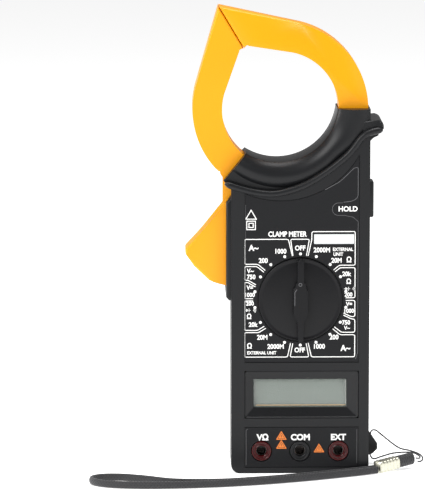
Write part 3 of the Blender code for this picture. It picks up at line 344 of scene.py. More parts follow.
JACK_RED = Plastic((0.050, 0.0006, 0.0012), 0.22, 0.04, 0.08, 0.0, shine=0.3)
STEEL = Metal((0.62, 0.62, 0.6), 0.3)
BRASS = Metal((0.72, 0.5, 0.2), 0.28)
# Sleeve metal far darker than nickel's own colour: painted shade for the jacks' dark bores.
NICKEL_WITH_PAINTED_SHADE = Metal((0.10, 0.09, 0.085), 0.22)
GOLD = Plastic((0.62, 0.36, 0.10), 0.3, 0.02, 0.05)
SEAL = Plastic((0.45, 0.47, 0.44), 0.3, 0.02, 0.05)
IRON = Metal((0.3, 0.3, 0.32), 0.45, (1, 30, 1))
COPPER = Metal((0.62, 0.24, 0.1), 0.35)
CREAM = Metal((0.66, 0.65, 0.54), 0.36)
BLACK_BRAID = Braid((0.007, 0.007, 0.008))


# ---------------------------------------------------------------- geometry


def arc(radius: float, start: float, end: float, centre: Point = RING, step: float = 2.5) -> list[Point]:
    """Points of an arc in the front view, from start to end in degrees."""
    count = max(1, math.ceil(abs(end - start) / step))
    turns = [math.radians(start + (end - start) * i / count) for i in range(count + 1)]
    return [(centre[0] + radius * math.cos(a), centre[1] + radius * math.sin(a)) for a in turns]


def at(radius: float, angle: float, centre: Point = RING) -> Point:
    """One point round a centre, at an angle in degrees."""
    turn = math.radians(angle)
    return centre[0] + radius * math.cos(turn), centre[1] + radius * math.sin(turn)


def band(inner: float, outer: float, start: float, end: float) -> list[Point]:
    """Outline of a stretch of ring."""
    return arc(inner, start, end) + arc(outer, end, start)


def rounded(corners: list[Point], radius: float, step: float = 15.0) -> list[Point]:
    """Rounds an outline's corners."""
    out: list[Point] = []
    for before, corner, after in zip(corners[-1:] + corners[:-1], corners, corners[1:] + corners[:1]):
        middle, one, two = Vector(corner), Vector(before), Vector(after)
        reach = min(radius, (one - middle).length * 0.45, (two - middle).length * 0.45)
        first = middle + (one - middle).normalized() * reach
        last = middle + (two - middle).normalized() * reach
        count = max(2, round(90 / step))
        for i in range(count + 1):
            t = i / count
            out.append(tuple(first * (1 - t) ** 2 + middle * (2 * t * (1 - t)) + last * t * t))
    return out


def smooth_route(points: list[Vector], spacing: float) -> list[Vector]:
    """Reads a Catmull-Rom curve through the points, one point about every spacing."""
    ends = [points[0] * 2 - points[1], *points, points[-1] * 2 - points[-2]]
    out = [points[0]]
    for a, b, c, d in zip(ends, ends[1:], ends[2:], ends[3:]):
        steps = max(1, round((c - b).length / spacing))
        for i in range(1, steps + 1):
            t = i / steps
            out.append(0.5 * (2 * b + (c - a) * t + (2 * a - 5 * b + 4 * c - d) * t**2
                              + (3 * b - a - 3 * c + d) * t**3))
    return out


class Solid:
    """A mesh under construction, with Booleans that are baked into it."""

    def __init__(self, mesh: bmesh.types.BMesh, sharp: float = 32.0) -> None:
        """Takes over a mesh, whose edges stay sharp past an angle in degrees."""
        bmesh.ops.recalc_face_normals(mesh, faces=mesh.faces)
        data = bpy.data.meshes.new("solid")
        mesh.to_mesh(data)
        mesh.free()
        self.sharp = sharp
        self.item = bpy.data.objects.new("solid", data)
        bpy.context.collection.objects.link(self.item)

    def apply(self, operation: Operation, *tools: "Solid") -> "Solid":
        """Bakes one Boolean for each tool, and removes the tools."""
        for tool in tools:
            modifier = self.item.modifiers.new("tool", "BOOLEAN")
            modifier.operation, modifier.solver, modifier.object = operation.value, "EXACT", tool.item
            self.bake()
            bpy.data.objects.remove(tool.item)
        return self

    def cut(self, *tools: "Solid") -> "Solid":
        """Takes the tools out."""
        return self.apply(Operation.CUT, *tools)

    def add(self, *tools: "Solid") -> "Solid":
        """Joins the tools on."""
        return self.apply(Operation.ADD, *tools)

    def join(self, *others: "Solid") -> "Solid":
        """Puts the others' faces in this mesh as they are."""
        mesh = bmesh.new()
        for other in (self, *others):
            mesh.from_mesh(other.item.data)
        mesh.to_mesh(self.item.data)
        mesh.free()
        for other in others:
            bpy.data.objects.remove(other.item)
        return self

    def bake(self) -> None:
        """Replaces the mesh with what its modifiers make of it."""
        bpy.context.view_layer.update()
        evaluated = self.item.evaluated_get(bpy.context.evaluated_depsgraph_get())
        data = bpy.data.meshes.new_from_object(evaluated)
        self.item.modifiers.clear()
        self.item.data = data

    def move(self, matrix: Matrix) -> "Solid":
        """Transforms the mesh itself."""
        self.item.data.transform(matrix)
        if matrix.determinant() < 0:
            self.item.data.flip_normals()
        return self

    def piece(self, name: str, finish: Finish, part: Part, *nodes: str,
              slot: str | None = None) -> bpy.types.Object:
        """Names the piece, gives it its finish, and ties it to its body and the nodes it stands for."""
        data = self.item.data
        data.shade_smooth()
        data.set_sharp_from_angle(angle=math.radians(self.sharp))
        return settle(self.item, name, finish, part, *nodes, slot=slot)


def settle(item: bpy.types.Object, name: str, finish: Finish, part: Part, *nodes: str,
           slot: str | None = None) -> bpy.types.Object:
    """Names an object, gives it a finish and tells the frame what it rides on and replaces.

    Args:
        item: the finished object.
        name: its name as a piece.
        finish: what it is made of.
        part: the body that it rides on.
        nodes: the CAD nodes that it stands for.
        slot: the node that it would be listed under, if it stands for none; not used.

    Returns:
        The same object.
    """
    log.info("%s rides on %s", name, part.value)
    item.name = item.data.name = name
    item.data.materials.clear()
    item.data.materials.append(finish.make(name))
    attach(item, part.value)
    if nodes:
        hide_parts(*nodes)
    return item


class Repeat:
    """Geometry Nodes that place one small shape many times. Every node is made by node()."""

    def __init__(self, name: str) -> None:
        """Starts the group with its output and its inputs' node."""
        self.group = bpy.data.node_groups.new(name, "GeometryNodeTree")
        self.group.interface.new_socket("Geometry", in_out="OUTPUT", socket_type="NodeSocketGeometry")
        self.values: dict[str, object] = {}
        self.entry = self.node("NodeGroupInput")

    def node(self, kind: str, inputs: dict | None = None, **settings: object) -> bpy.types.Node:
        """Makes a node, with sockets linked and constants set by input name."""
        made = self.group.nodes.new(kind)
        for key, value in settings.items():
            setattr(made, key, value)
        for key, value in (inputs or {}).items():
            if isinstance(value, bpy.types.NodeSocket):
                self.group.links.new(value, made.inputs[key])
            else:
                made.inputs[key].default_value = value
        return made

    def knob(self, name: str, kind: str, value: object) -> bpy.types.NodeSocket:
        """Adds an input of the group and remembers its value by the socket's identifier."""
        added = self.group.interface.new_socket(name, in_out="INPUT", socket_type=f"NodeSocket{kind}")
        self.values[added.identifier] = value
        return self.entry.outputs[name]

    def bake(self, points: bpy.types.Node, shape: bpy.types.Node, place: Vector, turn: tuple,
             finish: Finish) -> Solid:
        """Puts the shape on every point, turns and moves the whole, and bakes it into a solid.

        Args:
            points: the node that makes the points.
            shape: the node that makes the shape.
            place: where the whole goes.
            turn: the whole's Euler angles.
            finish: the finish that the baked mesh starts with.

        Returns:
            The baked solid, with its modifier removed.
        """
        spread = self.node("GeometryNodeInstanceOnPoints",
                           {"Points": points.outputs["Mesh"], "Instance": shape.outputs[0]})
        placed = self.node("GeometryNodeTransform",
                           {"Geometry": spread.outputs["Instances"], "Translation": place,
                                                     "Rotation": turn})
        real = self.node("GeometryNodeRealizeInstances", {"Geometry": placed.outputs["Geometry"]})
        material = self.knob("Material", "Material", finish.make(self.group.name))
        dressed = self.node("GeometryNodeSetMaterial",
                            {"Geometry": real.outputs["Geometry"], "Material": material})
        self.node("NodeGroupOutput", {"Geometry": dressed.outputs["Geometry"]})
        solid = Solid(bmesh.new())
        modifier = solid.item.modifiers.new("repeat", "NODES")
        modifier.node_group = self.group
        for identifier, value in self.values.items():
            modifier[identifier] = value
        solid.bake()
        return solid


def dot_ring(count: int, ring: float, radius: float, place: Vector, finish: Finish) -> Solid:
    """Flat dots spread evenly round a ring that faces the front."""
    nodes = Repeat("dot_ring")
    points = nodes.node("GeometryNodeMeshCircle", {"Vertices": nodes.knob("Count", "Int", count),
                                                   "Radius": nodes.knob("Ring", "Float", ring)})
    dot = nodes.node("GeometryNodeMeshCircle", {"Vertices": 24, "Radius": nodes.knob("Dot", "Float", radius)},
                     fill_type="NGON")
    return nodes.bake(points, dot, place, (math.pi / 2, math.pi / 2, 0), finish)


def ribs(count: int, pitch: float, radius: float, length: float, place: Vector, turn: tuple,
         finish: Finish) -> Solid:
    """Parallel round bars along X, one above another, as ridges to add or grooves to cut.

    Args:
        count: how many.
        pitch: from one to the next.
        radius: a bar's radius.
        length: a bar's length.
        place: the middle of the first bar.
        turn: Euler angles for the row.
        finish: the finish of the piece that they belong to.

    Returns:
        The bars as one solid.
    """
    nodes = Repeat("ribs")
    points = nodes.node("GeometryNodeMeshLine",
                        {"Count": nodes.knob("Count", "Int", count), "Offset": (0, 0, pitch)})
    bar = nodes.node("GeometryNodeMeshCylinder",
                     {"Vertices": 24, "Radius": nodes.knob("Radius", "Float", radius),
                                                  "Depth": nodes.knob("Length", "Float", length)})
    laid = nodes.node("GeometryNodeTransform",
                      {"Geometry": bar.outputs["Mesh"], "Rotation": (0, math.pi / 2, 0)})
    return nodes.bake(points, laid, place, turn, finish)


def prism(outline: list[Point], low: float, high: float, edge: float = 0.0, at_end: str = "front",
          steps: int = 5, sharp: Callable[[bmesh.types.BMEdge], bool] | None = None) -> Solid:
    """Extrudes a front-view outline along Y, with rounded rims.

    Args:
        outline: (x, z) points.
        low: the front face's y.
        high: the rear face's y.
        edge: the rims' radius.
        at_end: front, rear or both.
        steps: segments in a rounded rim.
        sharp: tells which rim edges stay square.

    Returns:
        The closed solid.
    """
    mesh = bmesh.new()
    rings = [[mesh.verts.new((x, y, z)) for x, z in outline] for y in (low, high)]
    caps = [mesh.faces.new(rings[0]), mesh.faces.new(rings[1][::-1])]
    for i in range(len(outline)):
        j = (i + 1) % len(outline)
        mesh.faces.new((rings[0][i], rings[1][i], rings[1][j], rings[0][j]))
    if edge:
        chosen = {"front": caps[:1], "rear": caps[1:], "both": caps}[at_end]
        rim = {e for cap in chosen for e in cap.edges if not (sharp and sharp(e))}
        bmesh.ops.bevel(mesh, geom=list(rim), offset=edge, segments=steps, affect="EDGES", profile=0.5,
                        clamp_overlap=True)
    return Solid(mesh)


def block(low: tuple, high: tuple, edge: float = 0.0, steps: int = 3) -> Solid:
    """A box between two corners, with all its edges rounded."""
    mesh = bmesh.new()
    bmesh.ops.create_cube(mesh, size=1.0)
    size, middle = Vector(high) - Vector(low), (Vector(high) + Vector(low)) / 2
    mesh.transform(Matrix.Translation(middle) @ Matrix.Diagonal((*size, 1)))
    if edge:
        bmesh.ops.bevel(mesh, geom=mesh.edges[:], offset=edge, segments=steps, affect="EDGES", profile=0.5)
    return Solid(mesh)


def turned(profile: list[Point], centre: Point, sides: int = 96, turn: Matrix | None = None) -> Solid:
    """Turns (radius, y) points round an axis along Y through (x, z)."""
    mesh = bmesh.new()
    rings = []
    for radius, y in profile:
        count = sides if radius > 1e-7 else 1
        rings.append([mesh.verts.new((radius * math.cos(2 * math.pi * i / sides), y,
                                      radius * math.sin(2 * math.pi * i / sides))) for i in range(count)])
    for lower, upper in zip(rings, rings[1:]):
        for i in range(sides):
            j = (i + 1) % sides
            corners = [lower[i % len(lower)], lower[j % len(lower)], upper[j % len(upper)],
                       upper[i % len(upper)]]
            mesh.faces.new(list(dict.fromkeys(corners)))
    mesh.transform(Matrix.Translation((centre[0], 0, centre[1])) @ (turn or Matrix()))
    return Solid(mesh)


def rod(centre: Point, radius: float, low: float, high: float, sides: int = 64) -> Solid:
    """A cylinder along Y."""
    return turned([(0, low), (radius, low), (radius, high), (0, high)], centre, sides)


MIRROR = Matrix.Scale(-1, 4, (0, 1, 0))


# ---------------------------------------------------------------- outlines


def tangent_corner(radius: float) -> Point:
    """Where the two straight outer lines at this radius meet, at the jaws' tip."""
    return at(radius / math.cos(math.radians(MOVING_SLOPE - FIXED_SLOPE) / 2), SEAM_ANGLE)


def jaw_tip(side: int, slope: float) -> list[Point]:
    """The mitred end of one jaw, from its outer line to its inner line. side is 1 for the moving jaw."""
    across = math.radians(SEAM_ANGLE + 90 * side)
    off = Vector((math.cos(across), math.sin(across))) * SEAM_GAP / 2
    outer, inner = Vector(tangent_corner(RING_OUTER)), Vector(tangent_corner(RING_INNER))
    reach = (inner - Vector(RING)).length
    shoulder = inner + (Vector(at(RING_INNER, slope)) - inner).normalized() * 1.1 * NOSE
    return [tuple(outer + off), tuple(Vector(at(reach - NOSE, SEAM_ANGLE)) + off), tuple(shoulder)]


def fixed_jaw_outline() -> list[Point]:
    """The right-hand jaw, from inside the collar round to the seam."""
    return arc(RING_OUTER, -25, FIXED_SLOPE) + jaw_tip(-1, FIXED_SLOPE) + arc(RING_INNER, FIXED_SLOPE, -25)


def moving_jaw_outline() -> list[Point]:
    """The left-hand jaw with its lever and trigger, which pass the pivot on the left."""
    side, tip = -RIGHT - TRIGGER_LIP, -RIGHT - TRIGGER_OUT
    neck = [(side - 2.0 * MM, PIVOT[1] + 12.5 * MM), (side - 0.5 * MM, PIVOT[1] + 10.2 * MM),
            (side, PIVOT[1] + 9 * MM)]
    grip = [(side, TRIGGER_TIP_Z + 22 * MM), (tip + 0.5 * MM, TRIGGER_TIP_Z + 1.5 * MM),
            (tip, TRIGGER_TIP_Z + 0.6 * MM), (tip, TRIGGER_TIP_Z - 1.4 * MM),
            (tip + 0.4 * MM, TRIGGER_TIP_Z - 2.1 * MM), (tip + 4.2 * MM, TRIGGER_TIP_Z - 7.6 * MM)]
    inside = [at(20 * MM, -64, PIVOT), at(8.5 * MM, -30, PIVOT), at(RING_OUTER, 255)]
    inner = arc(RING_INNER, 255, MOVING_SLOPE)
    return (inner + jaw_tip(1, MOVING_SLOPE)[::-1] + arc(RING_OUTER, MOVING_SLOPE, 225) + neck + grip
            + arc(TRIGGER_REACH, 248, 272, PIVOT) + inside)


def guard_route() -> list[Vector]:
    """The middle of the hand guard from the ear to the trigger, which is also the flat body's upper edge."""
    points = ((40.0, 170.9), (34.5, 169.7), (30.0, 167.2), (23.2, 158.7), (11.9, 149.6), (0.7, 143.1),
              (-10.6, 139.7), (-18.1, 139.6), (-25.6, 140.9), (-33.1, 143.1), (-37.0, 144.6))
    return smooth_route([Vector((x * MM, 0, z * MM)) for x, z in points], 1.2 * MM)


def body_outline() -> list[Point]:
    """The case below the collar: its straight sides, and the route of the hand guard."""
    corner = 4.5 * MM
    low = arc(corner, 180, 270, (-RIGHT + corner, corner), 10)
    low += arc(corner, 270, 360, (RIGHT - corner, corner), 10)
    top = [(p.x, p.z) for p in guard_route() if abs(p.x) < RIGHT - 0.3 * MM]
    return low + [(RIGHT, 169.6 * MM), *top, (-RIGHT, 143.4 * MM)]


def collar_inner(angle: float) -> float:
    """The radius of the collar's inner face, which is thickest below the middle."""
    way = Vector(at(1, angle, (0, 0)))
    off = Vector((1.3 * MM, -3.9 * MM))
    along = off.dot(way)
    return -along + math.sqrt(along**2 - off.length_squared + COLLAR_INNER**2)


def cavity_outline(collar: bool) -> list[Point]:
    """The hollow inside the case: below the hand guard, or up into the collar too."""
    side, wall, corner = RIGHT - 2 * MM, 2 * MM, 4.5 * MM
    floor = [(-side, corner), (-side + wall, wall), (side - wall, wall), (side, corner)]
    if collar:
        return (floor + [(side, RING[1] - 5.3 * MM)] + arc(RING_INNER - 0.35 * MM, -10.4, COLLAR_LEFT + 5.2)
                + [(-side, PIVOT[1] + 6 * MM)])
    radius = 45.6 * MM
    ends = [math.degrees(math.acos((side + sign * RING[0]) / radius)) for sign in (-1, 1)]
    return floor + arc(radius, -ends[0], ends[1] - 180)


def ear_outline() -> list[Point]:
    """The stop for the hand at the right end of the guard."""
    low, high, out = 167.9 * MM, 175.4 * MM, RIGHT + 6.7 * MM
    nose = 3.2 * MM
    return ([(RIGHT - 4 * MM, low - 6 * MM), (RIGHT, low - 3 * MM)]
            + arc(nose, -90, 90, (out - nose, high - nose), 10) + [(RIGHT - 4 * MM, high)])


def lip_outline() -> list[Point]:
    """The rim beside the trigger's slot, a little proud of the case's left side."""
    out, low, high = -RIGHT - 2.4 * MM, SLOT_BOTTOM - 4.5 * MM, PIVOT[1] + 5.5 * MM
    return [(-RIGHT + 3 * MM, low), (-RIGHT - 1 * MM, low), (out, low + 1.5 * MM), (out, high - 8 * MM),
            (-RIGHT + 3 * MM, high)]


def panel_outline(inset: float = 0.0) -> list[Point]:
    """The recess round the dial: square below, and following the hand guard above."""
    left, right = LABEL_LEFT + inset, LABEL_RIGHT - inset
    radius = GUARD_RADIUS + 4.6 * MM + inset
    start = -math.degrees(math.acos((right - RING[0]) / radius))
    end = -180 + math.degrees(math.acos((RING[0] - left) / radius))
    return [(left, LABEL_BOTTOM + inset), (right, LABEL_BOTTOM + inset)] + arc(radius, start, end)


# ---------------------------------------------------------------- sub-assemblies


def near_ring(edge: bmesh.types.BMEdge) -> bool:
    """Whether a rim's edge lies under the hand guard."""
    middle = (edge.verts[0].co + edge.verts[1].co) / 2
    return middle.z > 138 * MM and abs(middle.x) < RIGHT - 0.6 * MM


@dataclass
class Case:
    """The two black shells, with the collar, the guard's bead, the ear and the trigger's lip."""

    wall: float = 2 * MM
    past: float = 3 * MM
    collar_side: float = 43.95 * MM
    collar_groove: float = 37.8 * MM
    collar_shelf: float = 13.3 * MM
    screws: tuple = ((-29.3, 7.5), (29.3, 7.5), (26.6, 150.5), (1.3, 121.2))

    def shell(self, front: bool) -> Solid:
        """One shell, with its rim rounded and its mouths for the jaws cut.

        Args:
            front: True for the front shell, False for the rear one.
        """
        past, mouth = self.past, JAW_THICK / 2 + 0.4 * MM
        body = prism(body_outline(), FRONT, past, 4.5 * MM, steps=7, sharp=near_ring)
        collar = self.collar()
        ear = prism(ear_outline(), FRONT * 0.9, 0.8 * past, 1.6 * MM, steps=4)
        lip = prism(lip_outline(), FRONT * 0.8, 0.7 * past, 1.2 * MM, steps=3)
        bead = self.bead()
        body.add(collar, bead, ear, lip)
        cavity = prism(cavity_outline(False), FRONT + self.wall, 2 * past)
        hollow = prism(cavity_outline(True), -9 * MM, 2.05 * past)
        inner, outer = RING_INNER - 0.35 * MM, RING_OUTER + 0.35 * MM
        right = prism(band(inner, outer, -20, 6), -mouth, 2.1 * past)
        left_mouth = band(inner, RING_OUTER + 8 * MM, COLLAR_LEFT + 8, COLLAR_LEFT - 16)
        left = prism(left_mouth, -mouth - 0.1 * MM, 2.2 * past)
        slot = block((-RIGHT - 8 * MM, -mouth - 0.2 * MM, SLOT_BOTTOM),
                     (-RIGHT + 4 * MM, 2.3 * past, PIVOT[1] + 15 * MM))
        seam = (SEAM_Y if front else -SEAM_Y) - SEAM_GAP / 2
        beyond = block((-0.2, seam, -0.1), (0.2, 0.05, 0.3))
        body.cut(cavity, hollow, right, left, slot, beyond)
        return body if front else body.move(MIRROR)

    def collar(self) -> Solid:
        """The collar round the lower jaw: a swollen band, squared off at the case's side."""
        mesh, rings, last = bmesh.new(), [], 96
        for i in range(last + 1):
            angle = COLLAR_LEFT - COLLAR_LEFT * i / last
            inner = collar_inner(angle)
            square = self.collar_side / math.cos(math.radians(angle)) if angle > -60 else 1.0
            outer = min(RING_OUTER + COLLAR_WALL, square)
            rise = min(1.0, max(0.0, (angle + 40) / 26))
            ease = rise * rise * (3 - 2 * rise)
            groove = self.collar_groove + (outer - 0.3 * MM - self.collar_groove) * ease
            section = [(inner, 0.9 * self.past), (inner, -11.2 * MM), (inner + 0.2 * MM, -11.8 * MM)]
            for k in range(15):
                share = k / 14
                swell = 12.3 + 1.1 * share + 2.7 * math.sin(math.pi * share) ** 0.8
                section.append((inner + 0.7 * MM + (groove - inner - 0.7 * MM) * share, -swell * MM))
            section += [(outer, -self.collar_shelf), (outer, 0.9 * self.past)]
            points = [(at(r, angle), y) for r, y in section]
            if i == last:
                points = [((x, RING[1] + 0.6 * MM), y) for (x, z), y in points]
            rings.append([mesh.verts.new((x, y, z)) for (x, z), y in points])
        return self.swept(mesh, rings)

    @staticmethod
    def swept(mesh: bmesh.types.BMesh, rings: list[list]) -> Solid:
        """A closed solid through equal rings of points."""
        for first, second in zip(rings, rings[1:]):
            for j in range(len(first)):
                k = (j + 1) % len(first)
                mesh.faces.new((first[j], first[k], second[k], second[j]))
        mesh.faces.new(rings[0])
        mesh.faces.new(rings[-1])
        bmesh.ops.recalc_face_normals(mesh, faces=mesh.faces)
        return Solid(mesh)

    def bead(self) -> Solid:
        """The hand guard: a half-round bead from the ear to the trigger."""
        mesh, rings, route = bmesh.new(), [], guard_route()
        for i, point in enumerate(route):
            along = (route[min(i + 1, len(route) - 1)] - route[max(i - 1, 0)]).normalized()
            across = Vector((along.z, 0, -along.x))
            end = min(i, len(route) - 1 - i) / 2.5
            size = 1.0 if end >= 1 else math.sqrt(1 - (1 - end) ** 2 * 0.85)
            half, rise = GUARD_WIDTH / 2 * size, GUARD_RISE * 0.75 * size
            back = -13.5 * MM
            section = [(half, back)] + [
                (half * math.cos(math.radians(a)), FRONT + 0.4 * MM - rise * math.sin(math.radians(a)))
                for a in range(0, 181, 15)] + [(-half, back)]
            rings.append([mesh.verts.new(point + across * r + Vector((0, y, 0))) for r, y in section])
        return self.swept(mesh, rings)

    def front(self) -> None:
        """The front shell with its recesses and openings."""
        shell = self.shell(True)
        floor = FRONT + LABEL_RECESS
        panel = prism(panel_outline(), FRONT - MM, floor)
        display = block((LABEL_LEFT, FRONT - MM, 27.6 * MM), (LABEL_RIGHT, FRONT + 4 * MM, 51.4 * MM))
        jacks = block((LABEL_LEFT, FRONT - MM, 2.9 * MM), (LABEL_RIGHT, floor - 0.2 * MM, 23.4 * MM))
        dial = rod((0, DIAL_Z), DIAL_RADIUS + 0.4 * MM, FRONT - MM, FRONT + 1.9 * MM, 128)
        button = self.button_hole()
        shell.cut(panel, display, jacks, dial, button)
        for i in (-1, 0, 1):
            shell.cut(rod((i * JACK_SPACING, JACK_Z), JACK_RADIUS + 0.3 * MM, FRONT - MM, FRONT + 4 * MM, 64))
        shell.piece("case_front", BLACK, Part.CASE, "front_case")

    def rear(self) -> None:
        """The rear shell with its strap lug, screw wells and the step for the battery door."""
        shell = self.shell(False)
        out = RIGHT + 5.6 * MM
        lug = prism([(RIGHT - 1.5 * MM, 3.8 * MM), (out - 2.4 * MM, 5.4 * MM), (out, 7.8 * MM),
                     (out, 10.3 * MM), (RIGHT - 1.5 * MM, 20.8 * MM)], 4 * MM, 10 * MM, 0.8 * MM, "both", 4)
        eye = turned([(0, -0.02), (1.1 * MM, -0.02), (1.1 * MM, 0.02), (0, 0.02)], (0, 0), 32,
                     Matrix.Translation((36 * MM, 7 * MM, 10.5 * MM)) @ Matrix.Rotation(math.pi / 2, 4, "X"))
        inside = block((-RIGHT + MM, 0, 0), (RIGHT - MM, 12 * MM, 30 * MM))
        lug.cut(inside)
        shell.add(lug)
        button = self.button_hole()
        shell.cut(eye, button, prism(self.door_outline(0.3 * MM), REAR - 2 * MM, REAR + MM))
        for x, z in self.screws:
            shell.cut(rod((x * MM, z * MM), 2.6 * MM, REAR - 3 * MM, REAR + MM, 48))
        back = prism(self.door_outline(1.5 * MM), REAR - 3 * MM, REAR - 2 * MM)
        shell.join(back, *(turned([(3 * MM, REAR - 3.3 * MM), (3 * MM, REAR - 3 * MM),
                                   (1.6 * MM, REAR - 3 * MM)],
                                  (x * MM, z * MM), 48) for x, z in self.screws[:2]))
        shell.piece("case_rear", BLACK, Part.CASE, "rear_case")

    @staticmethod
    def button_hole() -> Solid:
        """The space for the hold button in the right-hand wall."""
        high = HOLD_Z + 9.3 * MM
        return block((RIGHT - 4 * MM, -5.3 * MM, 2 * HOLD_Z - high), (RIGHT + 4 * MM, 5.3 * MM, high))

    @staticmethod
    def door_outline(grow: float) -> list[Point]:
        """The battery door from behind, or the space round it."""
        low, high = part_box("battery_door")
        left, right = low[0] - grow, high[0] + grow
        bottom, top, middle = low[2] - grow, high[2] + grow, (low[0] + high[0]) / 2
        step = 53.6 * MM + grow
        return [(left, bottom), (right, bottom), (right, step), (2.8 * MM + 6 * MM + grow, step),
                (6.8 * MM + grow, top), (-1.2 * MM - grow, top), (2.8 * MM - 6 * MM - grow, step),
                (left, step)]

    def build(self) -> None:
        """Makes both shells."""
        self.front()
        self.rear()


@dataclass
class Jaws:
    """The yellow jaws: the fixed right one, and the moving left one in one piece with the trigger."""

    edge: float = 2.2 * MM

    def shells(self, outline: list[Point], names: tuple[str, str], part: Part, *cuts: tuple) -> None:
        """Two half shells that meet on the jaw's middle plane.

        Args:
            outline: the jaw from the front.
            names: the CAD nodes that the front and rear halves stand for.
            part: the body they ride on.
            cuts: (outline, low, high) of the spaces to take out.
        """
        half = JAW_THICK / 2
        for name, front in zip(names, (True, False)):
            shell = prism(outline, -half, -SEAM_GAP / 2, self.edge, "front", 7)
            for shape, low, high in cuts:
                shell.cut(prism(shape, low, high))
            if not front:
                shell.move(MIRROR)
            shell.piece(f"{name}_skin", YELLOW, part, name)

    def core_outline(self, start: float, slope: float, side: int) -> list[Point]:
        """The space for a core, from one end on the ring to the seam."""
        low, high = RING_INNER + 2.7 * MM, RING_OUTER - 2.7 * MM
        across = math.radians(SEAM_ANGLE + 90 * side)
        off = Vector((math.cos(across), math.sin(across))) * SEAM_GAP / 2
        tip = [tuple(Vector(tangent_corner(r)) + off) for r in (high, low)]
        return arc(high, start, slope) + tip + arc(low, slope, start)

    def build(self) -> None:
        """Makes the four shells."""
        hollow = 4.8 * MM
        self.shells(fixed_jaw_outline(), ("fixed_jaw_front_shell", "fixed_jaw_rear_shell"), Part.CASE,
                    (self.core_outline(-96, FIXED_SLOPE, -1), -hollow, hollow))
        relief = band(RING_INNER - 3 * MM, RING_INNER + 0.8 * MM, 262, 233.5)
        self.shells(moving_jaw_outline(), ("moving_jaw_front_shell", "moving_jaw_rear_shell"), Part.JAW,
                    (self.core_outline(255, MOVING_SLOPE, 1), -hollow, hollow),
                    (relief, -JAW_THICK, JAW_THICK))


@dataclass
class Dial:
    """The rotary knob: a disc with a fine rim, a raised bar that widens in the middle, and its mark."""

    bar: float = 2.9 * MM
    middle: float = 7.0 * MM
    rise: float = 3.3 * MM

    def bar_outline(self) -> list[Point]:
        """The bar from the front, wider in the middle third."""
        slim, wide = self.bar / 2, self.middle / 2
        right = [(slim - 0.2 * MM, -DIAL_RADIUS - 0.4 * MM), (slim + 0.1 * MM, -10.6 * MM), (wide, -7.2 * MM),
                 (wide, 5.8 * MM), (slim + 0.1 * MM, 7.8 * MM), (slim, DIAL_RADIUS - 0.3 * MM)]
        corners = [(x, DIAL_Z + z) for x, z in right] + [(-x, DIAL_Z + z) for x, z in reversed(right)]
        return rounded(corners, 1.1 * MM, 22.5)

    def build(self) -> None:
        """Makes the knob and the thin lines on its bar."""
        front, back = FRONT - DIAL_PROUD, FRONT + 2.0 * MM
        radius = DIAL_RADIUS
        profile = [(0, back), (radius, back), (radius, front + 0.5 * MM),
                   (radius - 0.12 * MM, front + 0.2 * MM), (radius - 0.4 * MM, front),
                   (radius - 1.1 * MM, front), (radius - 1.3 * MM, front + 0.12 * MM),
                   (radius - 2.2 * MM, front + 0.12 * MM), (radius - 2.5 * MM, front + 0.02 * MM), (0, front)]
        disc = turned(profile, (0, DIAL_Z), 160)
        bar = prism(self.bar_outline(), front - self.rise, front + MM, 0.7 * MM, steps=5)
        disc.add(bar)
        disc.piece("dial_skin", DIAL_BLACK, Part.DIAL, "dial_knob")
        print_face = front - self.rise - 0.02 * MM
        pointer = Print(print_face)
        mark = [(-2.9 * MM, DIAL_Z - 2.5 * MM), (-2.9 * MM, DIAL_Z + 4.2 * MM),
                (-1.9 * MM, DIAL_Z + 5.6 * MM)]
        pointer.line(mark, 0.3 * MM)
        pointer.loop([at(0.75 * MM, 30 * i, (-0.2 * MM, DIAL_Z + 8.0 * MM)) for i in range(12)], 0.26 * MM)
        pointer.piece("dial_pointer_print", SOFT_PRINT_AND_EDGE_HIGHLIGHT, Part.DIAL, "dial_knob")


